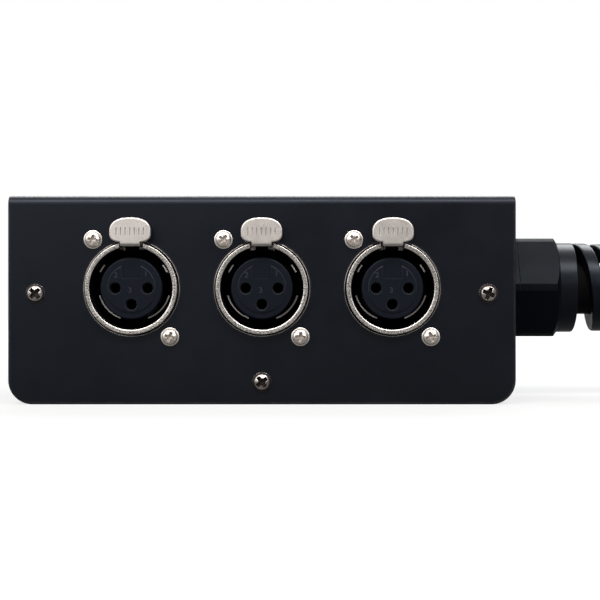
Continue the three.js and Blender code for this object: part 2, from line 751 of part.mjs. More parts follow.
const stageBox = new THREE.Group();
stageBox.add(makeCover(), makeTray());
makeCoverScrews(stageBox);
jackPlaces.forEach((x, i) => stageBox.add(makeJack(i + 1, x)));
stageBox.add(makeGland());

export default stageBox;
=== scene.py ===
"""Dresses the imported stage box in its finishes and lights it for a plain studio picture."""

import logging
import math
from dataclasses import dataclass
from enum import Enum
from functools import cache, partial, reduce
from typing import Callable, Sequence

import bmesh
import bpy
from mathutils import Matrix, Vector
from mathutils.geometry import delaunay_2d_cdt


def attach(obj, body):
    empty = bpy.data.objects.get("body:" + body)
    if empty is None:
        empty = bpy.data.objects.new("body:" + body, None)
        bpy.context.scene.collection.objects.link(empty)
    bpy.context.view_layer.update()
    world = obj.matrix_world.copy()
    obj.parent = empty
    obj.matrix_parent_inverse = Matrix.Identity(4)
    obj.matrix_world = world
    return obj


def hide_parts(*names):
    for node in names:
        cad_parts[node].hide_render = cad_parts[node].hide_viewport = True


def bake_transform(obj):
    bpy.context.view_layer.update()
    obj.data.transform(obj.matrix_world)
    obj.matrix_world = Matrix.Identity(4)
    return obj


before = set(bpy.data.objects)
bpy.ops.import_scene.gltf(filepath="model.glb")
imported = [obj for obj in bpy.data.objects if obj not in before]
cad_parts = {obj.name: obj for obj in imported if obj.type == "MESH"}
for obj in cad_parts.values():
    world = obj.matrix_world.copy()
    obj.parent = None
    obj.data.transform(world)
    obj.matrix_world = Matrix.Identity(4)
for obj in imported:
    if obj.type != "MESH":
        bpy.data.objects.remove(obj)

MM = 0.001
MERGED = 0.0005
SHARP = math.radians(40)
MARK = "second_finish"
Point2 = tuple[float, float]
Point3 = tuple[float, float, float]
Loop = Callable[[float], list[Point2]]
Wire = bpy.types.NodeSocket
Tree = bpy.types.NodeTree
log = logging.getLogger("stage box")


class Axis(Enum):
    """The way a prism or a turned piece runs."""

    X = "X"
    Y = "Y"
    Z = "Z"

    def at(self, u: float, v: float, along: float) -> Point3:
        """Gives the point at u, v across the axis and a place along it."""
        return {"X": (along, u, v), "Y": (u, along, v), "Z": (u, v, along)}[self.value]


class Shaping(Enum):
    """What a second piece does to the first."""

    CUT = "DIFFERENCE"
    JOIN = "UNION"
    KEEP = "INTERSECT"


class Face(Enum):
    """The side of the box that a screw is driven into."""

    FRONT = 0.0
    BACK = math.pi


def linked(name: str, data: bpy.types.ID) -> bpy.types.Object:
    """Makes an object and links it to the scene.

    Args:
        name: its name.
        data: its mesh, curve, camera or light.

    Returns:
        The object.
    """
    thing = bpy.data.objects.new(name, data)
    bpy.context.scene.collection.objects.link(thing)
    return thing


class Blank:
    """A piece while it is being made. Its mesh is in millimetres until it is finished."""

    def __init__(self, name: str, points: Sequence[Point3] = (), faces: Sequence[Sequence[int]] = ()) -> None:
        """Makes the mesh.

        Args:
            name: the piece's name.
            points: its corners in millimetres.
            faces: its faces as lists of corner numbers.
        """
        mesh = bpy.data.meshes.new(name)
        mesh.from_pydata(points, [], faces)
        self.thing = linked(name, mesh)
        self.tidy()

    def tidy(self) -> "Blank":
        """Merges doubled corners and turns every face outwards.

        Returns:
            The same piece.
        """
        work = bmesh.new()
        work.from_mesh(self.thing.data)
        bmesh.ops.remove_doubles(work, verts=work.verts, dist=MERGED)
        bmesh.ops.recalc_face_normals(work, faces=work.faces)
        work.to_mesh(self.thing.data)
        work.free()
        return self

    def modify(self, kind: str, inputs: dict[str, object] | None = None, **settings: object) -> "Blank":
        """Runs one modifier over the piece and keeps what it makes as a plain mesh.

        Args:
            kind: the modifier's type.
            inputs: values for a Geometry Nodes tree's inputs, by their names.
            settings: values for the modifier's own properties.

        Returns:
            The same piece.
        """
        modifier = self.thing.modifiers.new("step", kind)
        for key, value in settings.items():
            setattr(modifier, key, value)
        for item in modifier.node_group.interface.items_tree if inputs else ():
            if item.item_type == "SOCKET" and item.in_out == "INPUT" and item.name in inputs:
                modifier[item.identifier] = inputs[item.name]
        bpy.context.view_layer.update()
        graph = bpy.context.evaluated_depsgraph_get()
        mesh = bpy.data.meshes.new_from_object(self.thing.evaluated_get(graph), depsgraph=graph)
        self.thing.modifiers.clear()
        old, self.thing.data = self.thing.data, mesh
        if old.users == 0:
            bpy.data.meshes.remove(old)
        return self

    def shape(self, how: Shaping, *others: "Blank") -> "Blank":
        """Cuts, joins or keeps the piece with others, which are used up.

        Args:
            how: what the others do to this piece.
            others: the pieces it is shaped with.

        Returns:
            The same piece.
        """
        for other in others:
            self.modify("BOOLEAN", operation=how.value, solver="EXACT", object=other.thing)
            other.drop()
        return self

    def soften(self, width: float, steps: int = 2, angle: float = 35.0) -> "Blank":
        """Rounds every edge sharper than an angle in degrees, so wide and in so many steps."""
        return self.modify("BEVEL", width=width, segments=steps, limit_method="ANGLE",
                           angle_limit=math.radians(angle), use_clamp_overlap=True)

    def put(self, x: float = 0.0, y: float = 0.0, z: float = 0.0, turn: float = 0.0,
            about: Axis = Axis.Z) -> "Blank":
        """Turns the piece about an axis through the origin, in radians, then moves it by x, y and z."""
        self.thing.data.transform(Matrix.Translation((x, y, z)) @ Matrix.Rotation(turn, 4, about.value))
        return self

    def take(self, mesh: bpy.types.Mesh) -> "Blank":
        """Takes a ready mesh as its own."""
        self.thing.data = mesh
        return self

    def twin(self, name: str) -> "Blank":
        """Makes a copy of the piece under another name."""
        return Blank(name).take(self.thing.data.copy())

    def repeat(self, name: str, places: Sequence[Point3], turns: Sequence[Point3], look: "Look") -> "Blank":
        """Sets copies of the piece, which is used up, on every place.

        Args:
            name: the new piece's name.
            places: where each copy goes, in millimetres.
            turns: each copy's turn about X, Y and Z in radians.
            look: their finish.

        Returns:
            All the copies as one plain mesh.
        """
        blank = Blank(name, places)
        blank.thing.data.attributes.new("turn", "FLOAT_VECTOR", "POINT").data.foreach_set(
            "vector", [angle for turn in turns for angle in turn])
        inputs = {"Master": self.thing, "Finish": look.material}
        blank.modify("NODES", inputs, node_group=set_on_points())
        self.drop()
        return blank

    def gather(self, *others: "Blank") -> "Blank":
        """Takes other pieces into this mesh as they stand.

        Args:
            others: the pieces it takes in, which are used up.

        Returns:
            The same piece.
        """
        work = bmesh.new()
        work.from_mesh(self.thing.data)
        for other in others:
            work.from_mesh(other.thing.data)
            other.drop()
        work.to_mesh(self.thing.data)
        work.free()
        return self

    def drop(self) -> None:
        """Removes the piece."""
        bpy.data.objects.remove(self.thing)

    def mark(self, test: Callable[[Vector], bool]) -> "Blank":
        """Marks the faces that get the piece's second finish.

        Args:
            test: says from a face's middle, in millimetres, whether it is one of them.

        Returns:
            The same piece.
        """
        mesh = self.thing.data
        marks = mesh.attributes.get(MARK) or mesh.attributes.new(MARK, "INT", "FACE")
        marks.data.foreach_set("value", [int(test(face.center)) for face in mesh.polygons])
        return self

    def finish(self, look: "Look", slot: str, nodes: Sequence[str], second: "Look | None" = None,
               body: str | None = "box") -> bpy.types.Object:
        """Brings the piece to metres, shades and dresses it, and hangs it on its body.

        Args:
            look: its finish.
            slot: the record's material slot. It is not used.
            nodes: the CAD nodes that it stands for.
            second: the finish of its marked faces.
            body: the body that it moves with, or None to leave it unhung.

        Returns:
            The finished object.
        """
        mesh = self.thing.data
        mesh.materials.clear()
        mesh.materials.append(look.material)
        marks = [0] * len(mesh.polygons)
        if second:
            mesh.materials.append(second.material)
            mesh.attributes[MARK].data.foreach_get("value", marks)
        mesh.polygons.foreach_set("material_index", marks)
        mesh.transform(Matrix.Scale(MM, 4))
        mesh.shade_smooth()
        mesh.set_sharp_from_angle(angle=SHARP)
        self.modify("WEIGHTED_NORMAL", keep_sharp=True)
        if body:
            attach(self.thing, body)
        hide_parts(*nodes)
        log.info("%s: %d faces", self.thing.name, len(self.thing.data.polygons))
        return self.thing


def arc(u: float, v: float, radius: float, start: float, end: float, steps: int) -> list[Point2]:
    """Gives the steps + 1 points of an arc about u, v, from one angle to another in degrees."""
    angles = [math.radians(start + (end - start) * i / steps) for i in range(steps + 1)]
    return [(u + radius * math.cos(a), v + radius * math.sin(a)) for a in angles]


def ring(u: float, v: float, radius: float, sides: int) -> list[Point2]:
    """Gives the points of a full circle."""
    return arc(u, v, radius, 0, 360, sides)[:-1]


def corner_arcs(left: float, right: float, low: float, high: float, radius: float,
                steps: int) -> list[list[Point2]]:
    """Gives a rectangle's four rounded corners, anticlockwise from its lower left."""
    near, far, foot, top = left + radius, right - radius, low + radius, high - radius
    return [arc(u, v, radius, start, start + 90, steps)
            for u, v, start in ((near, foot, 180), (far, foot, 270), (far, top, 0), (near, top, 90))]


def box_outline(left: float, right: float, low: float, high: float, radius: float = 0.0,
                steps: int = 6) -> list[Point2]:
    """Gives a rectangle with rounded corners, anticlockwise from its lower left.

    Args:
        left: its lowest first coordinate.
        right: its highest.
        low: its lowest second coordinate.
        high: its highest.
        radius: the corners' radius.
        steps: the facets of each corner.

    Returns:
        Its points.
    """
    if radius <= 0:
        return [(left, low), (right, low), (right, high), (left, high)]
    return sum(corner_arcs(left, right, low, high, radius, steps), [])


def strips(rows: Sequence[Sequence[int]]) -> list[list[int]]:
    """Gives the faces between closed rows of corner numbers.

    Args:
        rows: the rows, all of one length. A row that repeats one number is a point.

    Returns:
        The faces, row by row.
    """
    faces = []
    for low, high in zip(rows, rows[1:]):
        for i in range(len(low)):
            j = (i + 1) % len(low)
            corners = [low[i], low[j], high[j], high[i]]
            faces.append([c for k, c in enumerate(corners) if c != corners[k - 1]])
    return [face for face in faces if len(face) > 2]


def loft(name: str, loops: Sequence[Sequence[Point3]]) -> Blank:
    """Makes a closed piece through loops of points, all of one length, from one end to the other."""
    rows = [[k * len(loop) + i for i in range(len(loop))] for k, loop in enumerate(loops)]
    return Blank(name, [p for loop in loops for p in loop], [rows[0], rows[-1][::-1], *strips(rows)])


def prism(name: str, outline: Sequence[Point2], axis: Axis, start: float, end: float) -> Blank:
    """Runs an outline along an axis from start to end."""
    return loft(name, [[axis.at(u, v, along) for u, v in outline] for along in (start, end)])


def turned(name: str, profile: Sequence[Point2], axis: Axis, sides: int) -> Blank:
    """Turns a profile about an axis.

    Args:
        name: the piece's name.
        profile: points of (radius, place along the axis). Where the last is the first, it closes.
        axis: the axis it turns about.
        sides: how many facets go round.

    Returns:
        The piece.
    """
    points: list[Point3] = []
    rows: list[list[int]] = []
    for radius, along in profile:
        across = ring(0, 0, radius, sides) if radius > 0 else [(0.0, 0.0)]
        rows.append([len(points) + (i % len(across)) for i in range(sides)])
        points += [axis.at(u, v, along) for u, v in across]
    return Blank(name, points, strips(rows))


def rim(first: float, last: float, front: float, back: float, steps: int) -> list[Point2]:
    """Gives a plate's rim as (inset, place), rounded by first at its front and by last at its back."""
    turns = [math.radians(90 * i / steps) for i in range(steps + 1)]
    return [(radius * (1 - math.sin(t)), place + way * radius * (1 - math.cos(t)))
            for radius, place, way, order in ((first, front, 1, turns), (last, back, -1, turns[::-1]))
            for t in order]


def rounded_plate(name: str, outline: Loop, axis: Axis, front: float, back: float, rounding: float,
                  steps: int = 5) -> Blank:
    """Makes a plate from an outline for each inset, with its front and back edges rounded."""
    rows = rim(rounding, rounding, front, back, steps)
    return loft(name, [[axis.at(u, v, along) for u, v in outline(inset)] for inset, along in rows])


class Board:
    """Sets and joins the nodes of one node tree."""

    def __init__(self, tree: Tree) -> None:
        """Takes the tree that it works on."""
        self.tree = tree
        self.given: Sequence[Wire] = ()

    @classmethod
    def on(cls, owner: bpy.types.Material | bpy.types.World) -> "Board":
        """Starts an empty board on a material or a world.

        Args:
            owner: the material or the world.

        Returns:
            The board.
        """
        owner.use_nodes = True
        owner.node_tree.nodes.clear()
        return cls(owner.node_tree)

    @classmethod
    def group(cls, kind: str, name: str, inputs: dict[str, str | float | Point3],
              outputs: dict[str, str]) -> "Board":
        """Starts a node group with named sockets.

        Args:
            kind: its tree's type.
            name: its name.
            inputs: each input's kind of socket, or the first value of a float or a vector.
            outputs: each output's kind of socket.

        Returns:
            A board on the group, with its inputs at hand.
        """
        tree = bpy.data.node_groups.new(name, kind)
        for label, value in inputs.items():
            word = value if isinstance(value, str) else "Vector" if isinstance(value, tuple) else "Float"
            socket = tree.interface.new_socket(label, in_out="INPUT", socket_type=f"NodeSocket{word}")
            if value != word:
                socket.default_value = value
        for label, word in outputs.items():
            tree.interface.new_socket(label, in_out="OUTPUT", socket_type=f"NodeSocket{word}")
        board = cls(tree)
        board.given = board.add("NodeGroupInput").outputs
        return board

    def add(self, kind: str, sockets: dict | None = None, **settings: object) -> bpy.types.Node:
        """Adds one node.

        Args:
            kind: the node's type name.
            sockets: values or other nodes' outputs for its inputs, by name or number.
            settings: values for its own properties.

        Returns:
            The node.
        """
        node = self.tree.nodes.new(kind)
        for key, value in settings.items():
            setattr(node, key, value)
        for key, value in (sockets or {}).items():
            if isinstance(value, Wire):
                self.tree.links.new(value, node.inputs[key])
            else:
                node.inputs[key].default_value = value
        return node

    def effect(self, tree: Tree, **sockets: object) -> Sequence[Wire]:
        """Adds a shared effect and gives its outputs."""
        return self.add("ShaderNodeGroup", sockets, node_tree=tree).outputs

    def noise(self, vector: Wire, scale: float | Wire, detail: float, **more: float) -> Wire:
        """Adds a noise texture."""
        sockets = {"Vector": vector, "Scale": scale, "Detail": detail, **more}
        return self.add("ShaderNodeTexNoise", sockets).outputs[0]

    def sum(self, operation: str, *values: float | Wire, clamp: bool = False) -> Wire:
        """Adds a math node, whose result clamp keeps between 0 and 1."""
        sockets = dict(enumerate(values))
        return self.add("ShaderNodeMath", sockets, operation=operation, use_clamp=clamp).outputs[0]

    def times(self, *values: float | Wire) -> Wire:
        """Multiplies numbers and outputs, from the first to the last."""
        return reduce(partial(self.sum, "MULTIPLY"), values)

    def blend(self, factor: Wire, first: object, second: object) -> Wire:
        """Mixes two colours. The factor is the share of the second."""
        return self.add("ShaderNodeMix", {0: factor, 6: first, 7: second}, data_type="RGBA").outputs[2]

    def spread(self, value: Wire, low: float, high: float, start: float = 0.0, end: float = 1.0) -> Wire:
        """Maps a value from start and end to low and high, and keeps it between them."""
        sockets = {0: value, 1: start, 2: end, 3: low, 4: high}
        return self.add("ShaderNodeMapRange", sockets, clamp=True).outputs[0]

    def deliver(self, geometry: Wire) -> Tree:
        """Ends a Geometry Nodes tree in plain geometry with the material that it is given.

        Args:
            geometry: what the tree has made.

        Returns:
            The tree.
        """
        real = self.add("GeometryNodeRealizeInstances", {0: geometry}).outputs[0]
        done = self.add("GeometryNodeSetMaterial", {"Geometry": real, "Material": self.given["Finish"]})
        self.add("NodeGroupOutput", {0: done.outputs[0]})
        return self.tree


@cache
def fine_grain() -> Tree:
    """Builds a fine pebbled skin, as powder coat and moulded plastic have.

    Returns:
        The group, with a height and a shade.
    """
    board = Board.group("ShaderNodeTree", "fine_grain", {"Vector": "Vector", "Scale": 2000.0},
                        {"Height": "Float", "Shade": "Float"})
    vector, scale = board.given["Vector"], board.given["Scale"]
    cells = board.add("ShaderNodeTexVoronoi", {"Vector": vector, "Scale": board.times(scale, 0.6)},
                      feature="SMOOTH_F1")
    broad = board.noise(vector, board.times(scale, 0.06), 3.0)
    height = board.sum("ADD", board.times(board.noise(vector, scale, 2.0), 0.5),
                       board.times(cells.outputs["Distance"], 0.5))
    board.add("NodeGroupOutput", {0: board.sum("ADD", height, board.times(broad, 0.6)), 1: broad})
    return board.tree


@cache
def rubbed_and_lit_edge_mask() -> Tree:
    """Builds a mask of the edges where a finish has thinned or is painted lighter as a highlight, broken up
    by noise.

    Returns:
        The group, with its mask.
    """
    board = Board.group("ShaderNodeTree", "rubbed_and_lit_edge_mask", {"Vector": "Vector", "Radius": 0.0005, "Amount": 1.0},
                        {"Mask": "Float"})
    rounded = board.add("ShaderNodeBevel", {"Radius": board.given["Radius"]}, samples=4).outputs[0]
    flat = board.add("ShaderNodeNewGeometry").outputs["Normal"]
    meet = board.add("ShaderNodeVectorMath", {0: rounded, 1: flat}, operation="DOT_PRODUCT").outputs["Value"]
    edge = board.spread(meet, 1.0, 0.0, 0.80, 0.995)
    broken = board.spread(board.noise(board.given["Vector"], 300.0, 4.0), 0.25, 1.0, 0.35, 0.65)
    mask = board.sum("MULTIPLY", board.times(edge, broken), board.given["Amount"], clamp=True)
    board.add("NodeGroupOutput", {0: mask})
    return board.tree


@cache
def handling() -> Tree:
    """Builds the soft patches left by hands and cloths.

    Returns:
        The group, with its mask.
    """
    board = Board.group("ShaderNodeTree", "handling", {"Vector": "Vector", "Scale": 40.0}, {"Mask": "Float"})
    vector, scale = board.given["Vector"], board.given["Scale"]
    patch = board.noise(vector, scale, 5.0, Roughness=0.6, Distortion=0.8)
    streak = board.noise(vector, board.times(scale, 4.0), 2.0)
    mixed = board.sum("MULTIPLY_ADD", streak, 0.35, board.times(patch, 0.65))
    board.add("NodeGroupOutput", {0: board.spread(mixed, 0.0, 1.0, 0.35, 0.65)})
    return board.tree


@cache
def hairlines() -> Tree:
    """Builds fine polishing lines that run one way.

    Returns:
        The group, with its height.
    """
    sockets = {"Vector": "Vector", "Stretch": (1.0, 1.0, 12.0), "Scale": 900.0}
    board = Board.group("ShaderNodeTree", "hairlines", sockets, {"Height": "Float"})
    vector, stretch, scale, *_ = board.given
    drawn = board.add("ShaderNodeVectorMath", {0: vector, 1: stretch}, operation="MULTIPLY").outputs[0]
    board.add("NodeGroupOutput", {0: board.noise(drawn, scale, 3.0, Roughness=0.7)})
    return board.tree


def shade(colour: Point3, share: float = 1.0) -> tuple[float, float, float, float]:
    """Gives a colour, made lighter or darker, with its alpha."""
    return (*(min(1.0, c * share) for c in colour), 1.0)


@dataclass(frozen=True)
class Finish:
    """What every finish has: a colour, how rough it is, how its edges are worn or painted lighter as a
    highlight, and how deep its grain.
    """

    name: str
    colour: Point3
    roughness: float
    rubbed_and_lit_edge_colour: Point3
    edge_share: float = 0.5
    edge_radius: float = 0.0004
    grain_depth: float = 0.00002
    specular: float = 0.5
    sheen_tint: Point3 = (1.0, 1.0, 1.0)
    metallic: float = 0.0
    hand_scale: float = 38.0
    hand_roughness: Point2 = (0.05, -0.04)

    def skin(self, board: Board, vector: Wire, hands: Wire) -> tuple[Wire, Wire]:
        """Gives the colour and the height of the finish where it isn't worn."""
        raise NotImplementedError

    @cache
    def build(self) -> bpy.types.Material:
        """Builds the material, once.

        Returns:
            The material.
        """
        material = bpy.data.materials.new(self.name)
        board = Board.on(material)
        vector = board.add("ShaderNodeTexCoord").outputs["Object"]
        hands = board.effect(handling(), Vector=vector, Scale=self.hand_scale)[0]
        # The edge mask lightens the colour where edges are worn and where they would catch the light, so it
        # is partly a painted highlight.
        rubbed_and_lit_edges = board.effect(rubbed_and_lit_edge_mask(), Vector=vector, Radius=self.edge_radius, Amount=self.edge_share)[0]
        colour, height = self.skin(board, vector, hands)
        bump = board.add("ShaderNodeBump", {"Height": height, "Distance": self.grain_depth, "Strength": 1.0})
        shader = board.add("ShaderNodeBsdfPrincipled", {
            "Base Color": board.blend(rubbed_and_lit_edges, colour, shade(self.rubbed_and_lit_edge_colour)),
            "Roughness": board.spread(hands, *(self.roughness + swing for swing in self.hand_roughness)),
            "Metallic": self.metallic, "Normal": bump.outputs[0],
            "Specular IOR Level": self.specular, "Specular Tint": shade(self.sheen_tint)})
        board.add("ShaderNodeOutputMaterial", {0: shader.outputs[0]})
        return material


@dataclass(frozen=True)
class Coat(Finish):
    """Paint or moulded plastic: a coloured skin with grain, patches from hands, and lighter edges that are
    partly thinned paint and partly a painted highlight.
    """

    grain_scale: float = 2600.0
    mottle: Point2 = (0.82, 1.2)
    handled: float = 1.1

    def skin(self, board: Board, vector: Wire, hands: Wire) -> tuple[Wire, Wire]:
        """Gives the mottled colour and the height of the grain.

        Args:
            board: the material's board.
            vector: the object's own coordinates.
            hands: the mask of the patches left by hands.

        Returns:
            The colour and the height.
        """
        grain = board.effect(fine_grain(), Vector=vector, Scale=self.grain_scale)
        mottled = board.blend(grain["Shade"], *(shade(self.colour, share) for share in self.mottle))
        return board.blend(hands, mottled, shade(self.colour, self.handled)), grain["Height"]


@dataclass(frozen=True)
class Plating(Finish):
    """Plated metal: polishing lines, a little tarnish and brighter edges."""

    metallic: float = 1.0
    hand_scale: float = 130.0
    hand_roughness: Point2 = (-0.04, 0.08)
    stretch: Point3 = (1.0, 1.0, 12.0)
    line_scale: float = 700.0
    tarnish: Point3 = (0.42, 0.38, 0.34)
    tarnish_share: float = 0.35
    pitting: float = 0.0
    pit_range: Point2 = (0.40, 0.54)

    def skin(self, board: Board, vector: Wire, hands: Wire) -> tuple[Wire, Wire]:
        """Gives the tarnished colour and the height of the polishing lines.

        Args:
            board: the material's board.
            vector: the object's own coordinates.
            hands: the mask of the patches left by hands.

        Returns:
            The colour and the height.
        """
        lines = board.effect(hairlines(), Vector=vector, Stretch=self.stretch, Scale=self.line_scale)[0]
        dull = board.times(hands, self.tarnish_share)
        pits = board.spread(lines, self.pitting, 0.0, *self.pit_range)
        return board.blend(board.sum("MAXIMUM", dull, pits), shade(self.colour), shade(self.tarnish)), lines


class Look(Enum):
    """Every finish on the box."""

    # The powder coat's lighter edge colour is partly wear and partly a painted highlight along the sheet's
    # rounded edges.
    POWDER_COAT = Coat("black_powder_coat", (0.0010, 0.0013, 0.0024), 0.38, (0.095, 0.078, 0.080), edge_share=1.0,
                       edge_radius=0.0010, grain_scale=2400.0, grain_depth=0.000016, specular=0.26,
                       sheen_tint=(0.74, 0.83, 1.0))
    NICKEL = Plating("bright_nickel", (0.80, 0.755, 0.71), 0.20, (0.92, 0.89, 0.85), edge_share=0.6,
                     grain_depth=0.000004)
    RING_NICKEL = Plating("ring_nickel", (0.80, 0.755, 0.71), 0.22, (0.94, 0.91, 0.87), edge_share=0.8,
                          edge_radius=0.00015, stretch=(1.0, 1.0, 1.0), line_scale=2400.0,
                          grain_depth=0.00006, tarnish=(0.20, 0.17, 0.15), tarnish_share=0.45, pitting=0.9)
    SATIN_NICKEL = Plating("satin_nickel", (0.68, 0.625, 0.58), 0.36, (0.88, 0.84, 0.80), edge_share=0.7,
                           stretch=(10.0, 1.0, 1.0), grain_depth=0.000005, tarnish=(0.60, 0.545, 0.495))
    DARK_NICKEL = Plating("screw_nickel", (0.60, 0.56, 0.53), 0.20, (0.88, 0.84, 0.80), edge_share=1.0,
                          edge_radius=0.00012, grain_depth=0.000005, tarnish=(0.14, 0.11, 0.10),
                          tarnish_share=0.9)
    # Near-black finish painted into the cover screws' cross recesses and dome grooves as shade.
    SCREW_HOLLOW_SHADE = Plating("recess_shadow", (0.030, 0.024, 0.022), 0.45, (0.10, 0.08, 0.07), edge_share=0.4,
                     grain_depth=0.000006, tarnish=(0.015, 0.012, 0.012))
    # Bright metal painted on the front rims of the socket holes as the highlight that the rims catch.
    HOLE_RIM_HIGHLIGHT = Plating("hole_rim_highlight", (0.62, 0.60, 0.58), 0.34, (0.80, 0.78, 0.76), edge_share=0.5,
                       grain_depth=0.000006, tarnish=(0.10, 0.10, 0.10), tarnish_share=0.8)
    # Darker, browner nickel painted into the socket screws' cross recesses and dome grooves as the shade that
    # falls there.
    NICKEL_HOLLOW_SHADE = Plating("nickel_hollow_shade", (0.60, 0.53, 0.47), 0.38, (0.80, 0.74, 0.68), edge_share=0.5,
                            grain_depth=0.000006, tarnish=(0.36, 0.29, 0.24), tarnish_share=0.6)
    # The insert's lighter edge colour is partly wear and partly a painted highlight on its edges.
    INSERT = Coat("insert_plastic", (0.0034, 0.0045, 0.0076), 0.42, (0.050, 0.060, 0.082), edge_share=0.9,
                  edge_radius=0.00014, grain_scale=3200.0, grain_depth=0.000010, specular=0.15,
                  sheen_tint=(0.78, 0.86, 1.0))
    # Lighter plastic painted on the insert's edges and pin numbers as the highlights they catch.
    INSERT_HIGHLIGHT = Coat("insert_highlight", (0.022, 0.026, 0.034), 0.34, (0.060, 0.072, 0.098), edge_share=0.5,
                   edge_radius=0.00010, grain_scale=3200.0, grain_depth=0.000006, specular=0.20)
    # Near-black finish: partly a dark liner in the socket's bore, and painted shade deep in the socket on the
    # spring's ring and the latch's underside.
    SHADE_AND_LINER = Coat("socket_shade_and_liner", (0.0016, 0.0016, 0.0018), 0.55, (0.006, 0.006, 0.006), edge_share=0.3,
                 grain_scale=3000.0, grain_depth=0.000010, specular=0.05)
    BRASS = Plating("contact_brass", (0.72, 0.55, 0.26), 0.24, (0.90, 0.74, 0.42), edge_share=0.5,
                    grain_depth=0.000003, tarnish=(0.40, 0.27, 0.12))
    # Near-black brass painted at the contacts' mouths and bores as the shade inside the holes.
    BRASS_HOLE_SHADE = Plating("brass_hole_shade", (0.014, 0.012, 0.010), 0.40, (0.05, 0.04, 0.03), edge_share=0.2,
                         grain_depth=0.000003, tarnish=(0.006, 0.005, 0.004))
    NYLON = Coat("gland_nylon", (0.0014, 0.0018, 0.0038), 0.30, (0.024, 0.030, 0.038), edge_share=0.5,
                 edge_radius=0.00022, grain_scale=1900.0, grain_depth=0.000010, specular=0.20,
                 sheen_tint=(0.80, 0.90, 1.0))
    FLATS = Coat("moulded_flats", (0.0012, 0.0015, 0.0032), 0.46, (0.040, 0.048, 0.058), edge_share=1.0,
                 edge_radius=0.00022, grain_scale=1900.0, grain_depth=0.000016, specular=0.10,
                 sheen_tint=(0.80, 0.90, 1.0))
    RUBBER = Coat("seal_rubber", (0.0030, 0.0030, 0.0034), 0.75, (0.010, 0.010, 0.010), edge_share=0.4,
                  grain_scale=1500.0, grain_depth=0.000020, specular=0.12)

    @property
    def material(self) -> bpy.types.Material:
        """The finish's material."""
        return self.value.build()


